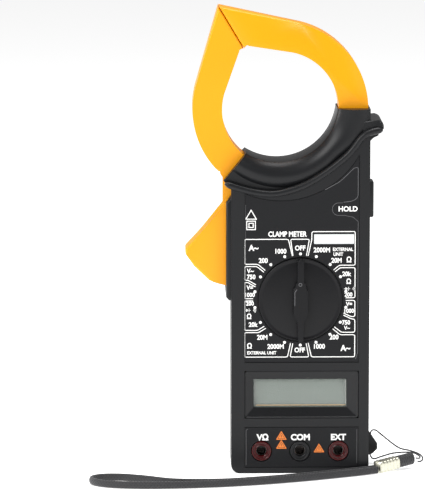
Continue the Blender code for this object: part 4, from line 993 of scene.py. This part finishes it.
class Print:
    """Thin ink on one flat face: lines, dots and letters, gathered in one mesh."""

    def __init__(self, y: float) -> None:
        """Starts the ink on the plane at this y."""
        self.y = y
        self.mesh = bmesh.new()

    def face(self, outline: list[Point]) -> None:
        """One filled outline, facing the front."""
        made = self.mesh.faces.new([self.mesh.verts.new((x, self.y, z)) for x, z in outline])
        made.normal_update()
        if made.normal.y > 0:
            made.normal_flip()

    def line(self, points: list[Point], width: float, closed: bool = False) -> None:
        """A line with mitred corners, open or closed."""
        spine, sides = [Vector(p) for p in points], []
        last = len(spine) - 1
        for i, point in enumerate(spine):
            before = (point - spine[i - 1]).normalized() if i or closed else (spine[1] - point).normalized()
            after = (spine[(i + 1) % len(spine)] - point).normalized() if i < last or closed else before
            across = (before + after).normalized().orthogonal()
            reach = width / 2 / max(0.35, abs(across.dot(before.orthogonal())))
            sides.append((point + across * reach, point - across * reach))
        for (a, b), (c, d) in zip(sides, sides[1:] + sides[:closed]):
            self.face([tuple(a), tuple(c), tuple(d), tuple(b)])

    def loop(self, points: list[Point], width: float) -> None:
        """A closed line."""
        self.line(points, width, True)

    def text(self, words: str, x: float, z: float, height: float, widen: float = 1.0,
             bold: float = 0.045) -> None:
        """Words centred on a point, with this cap height."""
        curve = bpy.data.curves.new("words", "FONT")
        curve.body, curve.align_x, curve.align_y = words, "CENTER", "CENTER"
        curve.size, curve.resolution_u, curve.offset = height / 0.7, 3, bold * height
        item = bpy.data.objects.new("words", curve)
        bpy.context.collection.objects.link(item)
        bpy.context.view_layer.update()
        data = bpy.data.meshes.new_from_object(item.evaluated_get(bpy.context.evaluated_depsgraph_get()))
        data.transform(Matrix.Translation((x, self.y, z)) @ Matrix.Rotation(math.pi / 2, 4, "X")
                       @ Matrix.Diagonal((widen, 1, 1, 1)))
        self.mesh.from_mesh(data)
        bpy.data.objects.remove(item)

    def piece(self, name: str, finish: Finish, part: Part, slot: str) -> None:
        """Closes the mesh as a named piece."""
        data = bpy.data.meshes.new(name)
        self.mesh.to_mesh(data)
        self.mesh.free()
        item = bpy.data.objects.new(name, data)
        bpy.context.collection.objects.link(item)
        settle(item, name, finish, part, slot=slot)


@dataclass
class DialPanel:
    """The dark film round the dial, with its ranges, dividers, dots and words."""

    thin: float = 0.42 * MM
    dots: float = 22.7 * MM

    WORDS = (
        ("A~", -22.6, 25.6, 2.9), ("1000", -9.5, 23.9, 2.3), ("200", -17.9, 19.3, 2.3),
        ("OFF", 0.2, 25.5, 2.3), ("V~", -24.2, 14.2, 2.2), ("750", -23.8, 11.2, 2.2),
        ("V=", -24.4, 5.9, 2.1), ("1000", -24.6, 2.3, 2.0), ("2000M", 10.9, 24.5, 2.3),
        ("20M", 18.1, 19.3, 2.3), ("Ω", 24.2, 19.6, 2.6), ("EXTERNAL", 21.2, 24.8, 1.6),
        ("UNIT", 18.9, 22.4, 1.6), ("20k", 23.0, 12.6, 2.2), ("Ω", 24.1, 8.8, 2.4), ("200", 24.0, 2.3, 2.0),
        ("200", -24.4, -2.0, 2.0), ("Ω", -24.8, -8.5, 2.4), ("20k", -22.9, -12.5, 2.2),
        ("20M", -18.3, -18.9, 2.3), ("2000M", -11.7, -23.5, 2.3), ("Ω", -24.6, -23.2, 2.5),
        ("EXTERNAL UNIT", -18.6, -26.6, 1.5), ("OFF", 0.1, -25.3, 2.3), ("1000", 9.6, -23.5, 2.3),
        ("200", 17.0, -18.9, 2.3), ("A~", 22.7, -24.4, 2.9), ("750", 22.9, -11.6, 2.1),
        ("V~", 23.4, -14.3, 1.9), ("V=", 24.4, -2.4, 2.0), ("1000", 24.2, -5.8, 2.0),
    )
    BOXES = (
        ((-3.7, 21.4), (-5.7, 29.6), (-27.1, 29.6), (-27.1, 17.4), (-20.7, 17.4), (-17.0, 14.4)),
        ((-17.7, 13.5), (-21.1, 16.3), (-27.1, 16.3), (-27.1, 9.6), (-25.5, 9.6), (-21.6, 7.3)),
        ((-21.8, 6.3), (-25.7, 8.5), (-27.1, 8.5), (-27.1, 0.5), (-23.0, 0.5)),
        ((-23.0, -0.6), (-27.1, -0.6), (-27.1, -15.1), (-20.7, -15.1), (-17.5, -13.1)),
        ((-16.7, -14.1), (-20.2, -16.2), (-27.1, -16.2), (-27.1, -28.3), (-6.0, -28.3), (-4.5, -21.4)),
        ((-3.4, -21.6), (-4.7, -28.3), (4.5, -28.3), (3.2, -21.6)),
        ((4.2, -21.4), (5.8, -28.3), (27.1, -28.3), (27.1, -17.4), (19.8, -17.4), (16.3, -14.5)),
        ((17.0, -13.5), (20.6, -16.2), (27.1, -16.2), (27.1, -9.8), (25.3, -9.6), (21.5, -7.7)),
        ((21.5, -6.7), (25.3, -8.5), (27.1, -8.4), (27.1, -0.5), (22.6, -0.5)),
        ((22.6, 0.8), (27.1, 0.8), (27.1, 15.6), (19.8, 15.6), (17.3, 13.6)),
        ((16.6, 14.5), (19.3, 16.8), (27.1, 16.8), (27.1, 33.3), (5.8, 33.3), (5.8, 29.4), (4.0, 21.4)),
        ((-3.4, 21.6), (-4.6, 29.6), (4.6, 29.6), (3.2, 21.5)),
    )

    def build(self) -> None:
        """Makes the film and its ink."""
        film = prism(panel_outline(0.35 * MM), LABEL_FACE, LABEL_FACE + 0.5 * MM)
        film.cut(rod((0, DIAL_Z), DIAL_RADIUS + 0.7 * MM, FRONT - MM, FRONT + 2 * MM, 128))
        film.piece("dial_film", FILM, Part.CASE, "dial_label")
        ink = Print(LABEL_FACE - 0.02 * MM)
        for line in self.BOXES:
            ink.line(self.softened([((x - 0.3) * MM, DIAL_Z + z * 1.012 * MM) for x, z in line]), self.thin)
        for words, x, z, height in self.WORDS:
            ink.text(words, (x - 0.4) * MM, DIAL_Z + z * MM, height * MM, 0.9)
        for side in (1, -1):
            self.diode(ink, side * 24.4 * MM, DIAL_Z + side * 5.3 * MM)
        self.notes(ink)
        dots = dot_ring(18, self.dots, 0.72 * MM, Vector((0, LABEL_FACE - 0.02 * MM, DIAL_Z)), PRINT)
        settle(dots.item, "dial_dots", PRINT, Part.CASE, slot="dial_label")
        ink.piece("dial_print", PRINT, Part.CASE, "dial_label")
        sticker = Print(LABEL_FACE - 0.03 * MM)
        sticker.face(rounded([(6.6 * MM, 114.6 * MM), (26.3 * MM, 114.6 * MM), (26.3 * MM, 119.4 * MM),
                              (6.6 * MM, 119.4 * MM)], 0.5 * MM))
        sticker.piece("blank_sticker", STICKER, Part.CASE, "dial_label")

    def softened(self, points: list[Point], radius: float = 0.9 * MM) -> list[Point]:
        """An open line with its corners rounded."""
        inside = rounded(points, radius, 22.5)
        each = len(inside) // len(points)
        return [points[0], *inside[each:-each], points[-1]]

    def diode(self, ink: Print, x: float, z: float) -> None:
        """The diode sign, and three arcs for the buzzer."""
        ink.face([(x - 2.3 * MM, z - 0.8 * MM), (x - 2.3 * MM, z + 0.8 * MM), (x - 0.9 * MM, z)])
        ink.line([(x - 0.8 * MM, z - 0.9 * MM), (x - 0.8 * MM, z + 0.9 * MM)], 0.25 * MM)
        ink.line([(x - 3.0 * MM, z), (x, z)], 0.22 * MM)
        for reach in (0.5, 1.05, 1.6):
            ink.line(arc(reach * MM, -48, 48, (x + 0.9 * MM, z), 12), 0.22 * MM)

    def notes(self, ink: Print) -> None:
        """Generic signs and words above the ranges, and painted highlight lines along the panel's recess
        edges and round the hold pod.
        """
        x, z = -24.3 * MM, 129.0 * MM
        ink.loop([(x - 2.6 * MM, z - 2.0 * MM), (x + 2.6 * MM, z - 2.0 * MM), (x, z + 2.4 * MM)], 0.42 * MM)
        for half in (2.1, 1.05):
            square = [(x - half * MM, z - (5.1 + half) * MM), (x + half * MM, z - (5.1 + half) * MM),
                      (x + half * MM, z - (5.1 - half) * MM), (x - half * MM, z - (5.1 - half) * MM)]
            ink.loop(square, 0.42 * MM)
        ink.text("CLAMP METER", -6.5 * MM, 119.4 * MM, 2.5 * MM, 0.82)
        ink.text("HOLD", 23.2 * MM, 131.8 * MM, 2.4 * MM)
        # Painted highlights: thin grey lines where the recess edges and the hold pod's rim catch the light.
        edge = Print(LABEL_FACE - 0.02 * MM)
        corner = [(12.0 * MM, 141.4 * MM), (19.5 * MM, 145.6 * MM), (26.2 * MM, 152.2 * MM),
                  (28.1 * MM, 152.4 * MM), (28.1 * MM, 137.6 * MM), (25.6 * MM, 135.8 * MM),
                  (21.0 * MM, 135.2 * MM)]
        edge.line(self.softened(corner, 1.6 * MM), 0.26 * MM)
        pod = arc(3.1 * MM, 90, 270, (18.6 * MM, 131.8 * MM), 10)
        edge.line([(20.6 * MM, 134.9 * MM), *pod, (21.6 * MM, 128.7 * MM), (25.8 * MM, 127.8 * MM),
                   (28.2 * MM, 125.6 * MM), (28.3 * MM, 60.5 * MM), (27.2 * MM, 57.2 * MM)], 0.2 * MM)
        edge.line([(LABEL_LEFT + 0.4 * MM, 134 * MM), (LABEL_LEFT + 0.4 * MM, 58 * MM)], 0.14 * MM)
        edge.piece("panel_emboss", SOFT_PRINT_AND_EDGE_HIGHLIGHT, Part.CASE, "dial_label")


@dataclass
class Display:
    """The sloping frame, its window and the grey-green display."""

    def build(self) -> None:
        """Makes the frame, the window and the glass."""
        back, half, low, high = FRONT + 2 * MM, WINDOW_HALF, WINDOW_LOW, WINDOW_HIGH
        outside = (LABEL_LEFT + 0.1 * MM, 27.7 * MM, LABEL_RIGHT - 0.1 * MM, 51.3 * MM)
        opening = (-half, low, half, high)
        steps = ((0.0, 3.0, back), (0.0, 1.6, FRONT + 0.45 * MM), (0.03, 1.4, FRONT + 0.3 * MM),
                 (0.10, 1.1, FRONT + 0.3 * MM), (0.13, 0.8, FRONT + 0.45 * MM), (0.96, 0.3, FRONT + 1.5 * MM),
                 (1.0, 0.25, FRONT + 1.65 * MM), (1.0, 0.2, back))
        mesh, rings = bmesh.new(), []
        for share, radius, depth in steps:
            x0, z0, x1, z1 = (a + (b - a) * share for a, b in zip(outside, opening))
            corners = rounded([(x0, z0), (x1, z0), (x1, z1), (x0, z1)], min(radius, 1.6) * MM)
            rings.append([mesh.verts.new((x, depth, z)) for x, z in corners])
        for first, second in zip(rings, rings[1:] + rings[:1]):
            for i in range(len(first)):
                j = (i + 1) % len(first)
                mesh.faces.new((first[i], first[j], second[j], second[i]))
        Solid(mesh, 22.0).piece("lcd_frame", RIM, Part.CASE, "lcd_bezel")
        face = back + 0.3 * MM
        lap = 1.5 * MM
        window = block((-half - lap, face, low - lap), (half + lap, face + MM, high + lap), 0.15 * MM)
        window.piece("lcd_cover", Clear((0.5, 0.53, 0.5), 0.12), Part.CASE, "lcd_window")
        glass = block((-half - 2 * MM, face + 1.3 * MM, low - 2.5 * MM),
                      (half + 2 * MM, face + 2.7 * MM, high + 2.5 * MM), 0.15 * MM)
        glass.piece("lcd_screen", Screen((0.125, 0.160, 0.135)), Part.CASE, "lcd_glass")
        for name, look, x, width in (("left", GREY, -half + 0.5 * MM, 0.3 * MM),
                                     ("right", SEAL, half - 0.5 * MM, 0.5 * MM)):
            edge = Print(face + 1.27 * MM)
            edge.line([(x, low + 0.5 * MM), (x, high - 0.3 * MM)], width)
            edge.piece(f"lcd_seal_{name}", look, Part.CASE, "lcd_glass")
        trim = Print(face + 1.26 * MM)
        trim.line([(-half + 1.2 * MM, low + 0.75 * MM), (half - 0.4 * MM, low + 0.75 * MM)], 0.5 * MM)
        trim.piece("lcd_lower_trim", GOLD, Part.CASE, "lcd_glass")


@dataclass
class Jacks:
    """Three shrouded sockets and the dark film round them."""

    def build(self) -> None:
        """Makes the film, its ink, the sockets and their sleeves."""
        edge = 0.35 * MM
        low, high = 2.9 * MM + edge, 23.4 * MM - edge
        film = prism([(LABEL_LEFT + edge, low), (LABEL_RIGHT - edge, low), (LABEL_RIGHT - edge, high),
                      (LABEL_LEFT + edge, high)], JACK_FACE, JACK_FACE + 0.5 * MM)
        for i in (-1, 0, 1):
            film.cut(rod((i * JACK_SPACING, JACK_Z), JACK_RADIUS + 0.45 * MM, FRONT - MM, FRONT + 2 * MM, 64))
        film.piece("jack_film", FILM, Part.CASE, "jack_label")
        for i, (name, look) in enumerate((("jack_v", JACK_RED), ("jack_com", RIM), ("jack_ext", JACK_RED))):
            self.socket(name, look, ((i - 1) * JACK_SPACING, JACK_Z))
        ink = Print(JACK_FACE - 0.02 * MM)
        for words, x in (("VΩ", -18.4), ("COM", 0.2), ("EXT", 18.9)):
            ink.text(words, x * MM, 18.0 * MM, 2.9 * MM, 1.0, 0.06)
        ink.piece("jack_print", PRINT, Part.CASE, "jack_label")
        # Painted highlights: thin grey lines where the jack recess's side edges catch the light.
        edge = Print(JACK_FACE - 0.02 * MM)
        edge.line([(-26.6 * MM, 4.2 * MM), (-26.6 * MM, 21.6 * MM), (-25.8 * MM, 22.4 * MM)], 0.2 * MM)
        edge.line([(28.1 * MM, 22.0 * MM), (28.1 * MM, 5.0 * MM)], 0.16 * MM)
        edge.piece("jack_emboss", SOFT_PRINT_AND_EDGE_HIGHLIGHT, Part.CASE, "jack_label")
        signs, marks = Print(JACK_FACE - 0.02 * MM), Print(JACK_FACE - 0.04 * MM)
        for x, z in ((-9.2, 19.0), (-9.2, 14.5), (9.4, 12.6)):
            signs.face(rounded([((x - 2.7) * MM, (z - 2.1) * MM), ((x + 2.7) * MM, (z - 2.1) * MM),
                                (x * MM, (z + 2.4) * MM)], 0.5 * MM))
            inner = [((x - 1.7) * MM, (z - 1.55) * MM), ((x + 1.7) * MM, (z - 1.55) * MM),
                     (x * MM, (z + 1.35) * MM)]
            marks.loop(inner, 0.22 * MM)
            marks.line([(x * MM, (z + 0.3) * MM), (x * MM, (z - 0.9) * MM)], 0.3 * MM)
        signs.piece("jack_signs", ORANGE, Part.CASE, "jack_label")
        marks.piece("jack_sign_marks", Plastic((0.12, 0.05, 0.02), 0.5), Part.CASE, "jack_label")

    def socket(self, name: str, look: Plastic, centre: Point) -> None:
        """One socket: a shroud with a rounded rim, a floor ring and a sleeve whose metal is darkened as
        painted shade in the bore.
        """
        front, radius, bore = FRONT - 0.1 * MM, JACK_RADIUS, JACK_BORE
        rim = [(radius, front + 6 * MM), (radius, front + 0.45 * MM)]
        rim += [(radius - 0.45 * MM + 0.45 * MM * math.cos(math.radians(a)), front + 0.45 * MM
                 - 0.45 * MM * math.sin(math.radians(a))) for a in (30, 60, 90, 120, 150)]
        inner = [(radius - 0.9 * MM, front + 0.6 * MM), (bore + 0.75 * MM, front + 0.62 * MM),
                 (bore + 0.6 * MM, front + 0.45 * MM), (bore + 0.35 * MM, front + 0.32 * MM),
                 (bore + 0.1 * MM, front + 0.5 * MM), (bore, front + 0.8 * MM), (bore, front + 6 * MM)]
        turned(rim + inner, centre, 96).piece(f"{name}_shroud", look, Part.CASE, name)
        start = front + 2.9 * MM
        cup = [(bore + 0.5 * MM, start + 12 * MM), (bore + 0.5 * MM, start), (bore - 0.25 * MM, start),
               (bore - 0.3 * MM, start + 0.2 * MM), (bore - 0.3 * MM, start + 12 * MM), (0, start + 12 * MM)]
        # The sleeve's near-black metal is painted shade in the bore.
        turned(cup, centre, 64).piece(f"{name}_tube", NICKEL_WITH_PAINTED_SHADE, Part.CASE, f"{name}_sleeve")


@dataclass
class HoldButton:
    """The ribbed hold button in the right-hand wall."""

    length: float = 18 * MM
    width: float = 10 * MM
    proud: float = 2.5 * MM

    def build(self) -> None:
        """Makes the cap with its flange and three finger ribs."""
        inside, top = RIGHT - 2.3 * MM, RIGHT + self.proud
        half, long = self.width / 2, self.length / 2
        cap = block((inside - MM, -half, HOLD_Z - long), (top, half, HOLD_Z + long), 0.9 * MM, 5)
        flange = block((inside - 1.5 * MM, -half - 1.7 * MM, HOLD_Z - long - 1.7 * MM),
                       (inside, half + 1.7 * MM, HOLD_Z + long + 1.7 * MM), 0.2 * MM)
        cap.add(flange)
        first = Vector((top + 0.15 * MM, 0, HOLD_Z - 4.4 * MM))
        cap.cut(ribs(5, 2.2 * MM, 0.55 * MM, self.width - 2.8 * MM, first, (0, 0, math.pi / 2), RIM))
        cap.piece("hold_cap", RIM, Part.HOLD, "hold_button")


@dataclass
class RearFittings:
    """The battery door with its finger ridges, and the cross-head screws behind."""

    def build(self) -> None:
        """Makes the door and the screws."""
        door = prism(Case.door_outline(0), REAR - 1.7 * MM, REAR, 0.4 * MM, "rear", 3)
        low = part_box("battery_door")[0][2]
        x, z = 2.8 * MM, 57.8 * MM
        first = Vector((x, REAR - 0.15 * MM, low + 4.2 * MM))
        door.add(ribs(4, 2 * MM, 0.55 * MM, 16 * MM, first, (0, 0, 0), BLACK))
        door.cut(rod((x, z), 1.5 * MM, REAR - 4 * MM, REAR + MM, 48),
                 rod((x, z), 2.6 * MM, REAR - 0.7 * MM, REAR + MM, 48))
        door.piece("battery_door_skin", BLACK, Part.DOOR, "battery_door")
        for name in ("case_screw_1", "case_screw_2", "case_screw_3", "case_screw_4", "trigger_screw"):
            self.screw(name, Part.JAW if name == "trigger_screw" else Part.CASE)
        self.screw("battery_door_screw", Part.DOOR)

    def screw(self, name: str, part: Part) -> None:
        """A pan head with a cross recess, where the CAD's screw is."""
        low, high = (Vector(corner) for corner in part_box(name))
        centre, top, radius = ((low.x + high.x) / 2, (low.z + high.z) / 2), high.y, 2.3 * MM
        profile = [(0, low.y), (0.5 * MM, low.y), (1.2 * MM, low.y + MM), (1.2 * MM, top - 0.9 * MM),
                   (radius, top - 0.9 * MM), (radius, top - 0.45 * MM), (radius * 0.93, top - 0.2 * MM),
                   (radius * 0.78, top - 0.05 * MM), (radius * 0.5, top), (0, top)]
        made = turned(profile, centre, 48)
        for wide, high_ in ((1.25, 0.28), (0.28, 1.25)):
            made.cut(block((centre[0] - wide * MM, top - 0.55 * MM, centre[1] - high_ * MM),
                           (centre[0] + wide * MM, top + MM, centre[1] + high_ * MM)))
        made.piece(f"{name}_head", STEEL, part, name)


# The strap's routes in millimetres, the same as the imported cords'.
STRING_ROUTE = (
    (58.4, -3.2, 4.6), (60.2, -1.6, 4.2), (60.4, 0.6, 4.8), (57.5, 2.2, 6.2), (52.5, 1.8, 6.6),
    (47.0, 2.2, 6.0), (41.7, 4.4, 4.0), (38.0, 6.4, 2.4), (36.3, 7.0, 4.0), (36.1, 7.0, 8.0),
    (36.1, 7.0, 12.5), (36.6, 6.9, 16.4), (38.8, 6.2, 17.0), (42.0, 4.2, 14.8), (46.5, 1.0, 11.6),
    (50.5, -1.8, 9.4), (55.0, -3.4, 8.6), (59.5, -4.6, 7.2), (61.5, -5.8, 5.4), (60.8, -7.2, 4.0),
    (58.8, -7.4, 3.6),
)
STRAP_ROUTE = (
    (38.2, -19.9, 2.6), (29.0, -24.2, 2.4), (14.0, -31.4, 2.4), (-2.0, -38.2, 2.4), (-20.0, -44.6, 2.4),
    (-40.0, -49.6, 2.4), (-60.0, -52.4, 2.4), (-78.0, -52.8, 2.4), (-92.0, -50.6, 2.4), (-100.5, -45.6, 2.4),
    (-103.0, -39.0, 2.4), (-98.0, -33.8, 2.4), (-88.0, -33.6, 2.4), (-76.0, -38.4, 2.4), (-62.0, -45.6, 2.4),
    (-40.6, -46.6, 2.4), (-21.0, -41.8, 2.4), (-3.2, -35.4, 2.4), (12.7, -28.7, 2.4), (27.6, -21.5, 2.4),
    (36.7, -17.2, 2.6),
)
STRAP_LIE = Vector((0.80, 0.60, 0.07)).normalized()


@dataclass
class Strap:
    """The wrist strap: string through the lug, braided tail, ribbed crimp and the flat braid's own loop."""

    braid_width: float = 3.7 * MM
    braid_thick: float = 2.0 * MM
    string: float = 0.75 * MM

    def sweep(self, path: list[Vector], width: float, thick: float, pitch: float, sides: int = 16) -> Solid:
        """A strand of oval section along a path, its width upright, with its own uv for the weave.

        Args:
            path: the centreline.
            width: the section's upright size.
            thick: the section's level size.
            pitch: length of one repeat of the weave.
            sides: points round the section.
        """
        mesh, rings, lengths = bmesh.new(), [], [0.0]
        layer = mesh.loops.layers.uv.new("route")
        up = Vector((0, 0, 1))
        for i, point in enumerate(path):
            ahead = (path[min(i + 1, len(path) - 1)] - path[max(i - 1, 0)]).normalized()
            if i:
                lengths.append(lengths[-1] + (point - path[i - 1]).length)
            level = ahead.cross(up)
            level = level.normalized() if level.length > 0.05 else Vector((0, 1, 0))
            rise = level.cross(ahead).normalized()
            turns = [2 * math.pi * k / sides for k in range(sides)]
            rings.append([mesh.verts.new(point + level * (thick / 2 * math.cos(a))
                                         + rise * (width / 2 * math.sin(a))) for a in turns])
        for i, (first, second) in enumerate(zip(rings, rings[1:])):
            for k in range(sides):
                j = (k + 1) % sides
                face = mesh.faces.new((first[k], second[k], second[j], first[j]))
                spots = ((i, k), (i + 1, k), (i + 1, k + 1), (i, k + 1))
                for loop, (row, column) in zip(face.loops, spots):
                    loop[layer].uv = (lengths[row] / pitch, column / sides * 6)
        mesh.faces.new(rings[0])
        mesh.faces.new(rings[-1])
        return Solid(mesh, 60.0)

    def lie(self, start: Vector) -> Matrix:
        """The frame that the crimp and the tail lie in."""
        return (Matrix.Translation(start + Vector((0, 0, 0.6 * MM)))
                @ STRAP_LIE.to_track_quat("X", "Z").to_matrix().to_4x4())

    def crimp(self, frame_: Matrix) -> bpy.types.Object:
        """The cream metal crimp, folded round the braid, with pressed ribs across it."""
        length, deep, high = 13 * MM, 6.0 * MM, 5.8 * MM
        mesh, rings = bmesh.new(), []
        for i in range(79):
            x = length * i / 78
            ends = min(1.0, min(x, length - x) / (0.5 * MM) * 0.35 + 0.65)
            wave = 0.5 - 0.5 * math.cos(2 * math.pi * x / (length / 6.5))
            rib = ends * (1 - 0.075 * wave ** 2)
            corners = rounded([(-deep / 2 * rib, -high / 2 * rib), (deep / 2 * rib, -high / 2 * rib),
                               (deep / 2 * rib, high / 2 * rib), (-deep / 2 * rib, high / 2 * rib)],
                               1.5 * MM, 15)
            rings.append([mesh.verts.new((x, y, z)) for y, z in corners])
        for first, second in zip(rings, rings[1:]):
            for k in range(len(first)):
                j = (k + 1) % len(first)
                mesh.faces.new((first[k], first[j], second[j], second[k]))
        mesh.faces.new(rings[0])
        mesh.faces.new(rings[-1])
        return Solid(mesh, 50.0).move(frame_).piece("crimp_ribbed", CREAM, Part.CASE, "strap_crimp")

    def build(self) -> None:
        braid = smooth_route([Vector(p) * MM for p in STRAP_ROUTE], 1.5 * MM)
        string = smooth_route([Vector(p) * MM for p in STRING_ROUTE], 0.8 * MM)
        start = (braid[0] + braid[-1]) / 2 + STRAP_LIE * 0.72 * MM
        braid = [p - Vector((0, 0, 0.35 * MM)) for p in braid]
        frame_ = self.lie(start)
        crimp = self.crimp(frame_)
        first, last = 13.0 * MM, 22.6 * MM
        tail_path = [frame_ @ Vector((first + (last - first) * i / 12, 0, 0)) for i in range(13)]
        tail = self.sweep(tail_path, 6.2 * MM, 5.0 * MM, 1.5 * MM, 24)
        tail = tail.piece("tail_braid", BLACK_BRAID, Part.CASE, "strap_tail")
        ribbon = self.sweep(braid, self.braid_width, self.braid_thick, 1.6 * MM, 18)
        ribbon = ribbon.piece("braid_loop", BLACK_BRAID, Part.CASE, "strap_braid")
        thread = self.sweep(string, self.string, self.string, 0.7 * MM, 10)
        thread = thread.piece("string_loop", BLACK_BRAID, Part.CASE, "strap_string")
        route_length(braid)
        route_length(string)


def route_length(points: list[Vector]) -> float:
    """The length along a route."""
    return sum((b - a).length for a, b in zip(points, points[1:]))


@dataclass
class InnerParts:
    """Finishes for the CAD's own inner pieces, which stay as they are."""

    def build(self) -> None:
        """Gives each inner node its procedural material."""
        looks = {
            "battery": Plastic((0.05, 0.06, 0.10), 0.3), "battery_snap": FILM, "battery_lead_black": RIM,
            "battery_lead_red": JACK_RED, "coil_lead_black": RIM, "coil_lead_red": JACK_RED, "buzzer": RIM,
            "converter_chip": DIAL_BLACK, "detent_ball_left": STEEL, "detent_ball_right": STEEL,
            "detent_spring_left": STEEL, "detent_spring_right": STEEL, "dial_contacts": BRASS,
            "dial_rotor": FILM, "fixed_jaw_coil": COPPER, "fixed_jaw_core": IRON, "moving_jaw_core": IRON,
            "hold_plunger": FILM, "hold_switch": GREY, "input_resistor": Plastic((0.35, 0.3, 0.2), 0.45),
            "jaw_pivot_pin": STEEL, "jaw_spring": STEEL, "lcd_strip": FILM,
            "main_board": Plastic((0.02, 0.12, 0.045), 0.4, 0.06, 0.1),
            "ptc_thermistor": Plastic((0.5, 0.3, 0.05), 0.4), "spark_gap": STEEL,
            "trimmer": Plastic((0.05, 0.12, 0.4), 0.35),
        }
        for name, look in looks.items():
            item = bpy.data.objects[name]
            made = look.make(f"{name}_finish")
            for slot in item.material_slots:
                slot.material = made


@dataclass
class Studio:
    """A pale floor, soft lights, and a long lens from a little above and to the left."""

    eye: tuple = (-0.0878, -2.0165, 0.4209)
    aim: tuple = (-0.0432, -0.0165, 0.1128)
    view_width: float = 0.20825
    glow: float = 0.6

    def build(self) -> None:
        """Makes the floor, the lights and the camera."""
        self.camera()
        self.floor()
        self.lamp("key", (-0.75, -0.75, 0.75), 0.5, 7.5)
        self.lamp("left", (-1.1, -0.15, 0.25), 0.3, 4)
        self.lamp("fill", (0.95, -0.95, 0.55), 0.7, 4.5)
        self.lamp("top", (0.0, 0.1, 1.3), 0.8, 16)
        world = bpy.data.worlds.new("studio")
        bpy.context.scene.world = world
        world.use_nodes = True
        world.node_tree.nodes["Background"].inputs["Color"].default_value = (1, 1, 1, 1)
        world.node_tree.nodes["Background"].inputs["Strength"].default_value = 0.30
        bpy.context.scene.view_settings.view_transform = "Standard"

    def camera(self) -> None:
        """The camera, aimed so the width at the aim point is the view's width."""
        data = bpy.data.cameras.new("camera")
        eye, aim = Vector(self.eye), Vector(self.aim)
        data.sensor_fit, data.sensor_width = "HORIZONTAL", 36.0
        data.lens = 36.0 * (aim - eye).length / self.view_width
        item = bpy.data.objects.new("camera", data)
        item.location = eye
        item.rotation_euler = (aim - eye).to_track_quat("-Z", "Y").to_euler()
        bpy.context.collection.objects.link(item)
        bpy.context.scene.camera = item

    def floor(self) -> None:
        """A wide flat sheet with a faint glow, so that it stays pale out to its far edge."""
        mesh, half = bmesh.new(), 9.0
        corners = ((-half, -half), (half, -half), (half, half), (-half, half))
        mesh.faces.new([mesh.verts.new((x, y, 0)) for x, y in corners])
        data = bpy.data.meshes.new("floor")
        mesh.to_mesh(data)
        mesh.free()
        item = bpy.data.objects.new("floor", data)
        bpy.context.collection.objects.link(item)
        graph = Graph("floor")
        graph.set(Base_Color=(0.9, 0.9, 0.9, 1), Roughness=0.85, Specular_IOR_Level=0.0,
                  Emission_Color=(1, 1, 1, 1), Emission_Strength=self.glow)
        data.materials.append(graph.material)

    def lamp(self, name: str, place: tuple, size: float, watts: float) -> None:
        """A square soft light aimed at the middle of the meter."""
        data = bpy.data.lights.new(name, "AREA")
        data.size, data.energy = size, watts
        item = bpy.data.objects.new(name, data)
        item.location = place
        item.rotation_euler = (Vector((0, 0, 0.11)) - Vector(place)).to_track_quat("-Z", "Y").to_euler()
        bpy.context.collection.objects.link(item)


def main() -> None:
    """Builds the studio, the strap and every sub-assembly."""
    logging.basicConfig(level=logging.INFO)
    for assembly in (Studio(), Strap(), Case(), Jaws(), Dial(), DialPanel(), Display(), Jacks(), HoldButton(),
                     RearFittings(), InnerParts()):
        log.info("building %s", type(assembly).__name__)
        assembly.build()


if __name__ == "__main__":
    main()
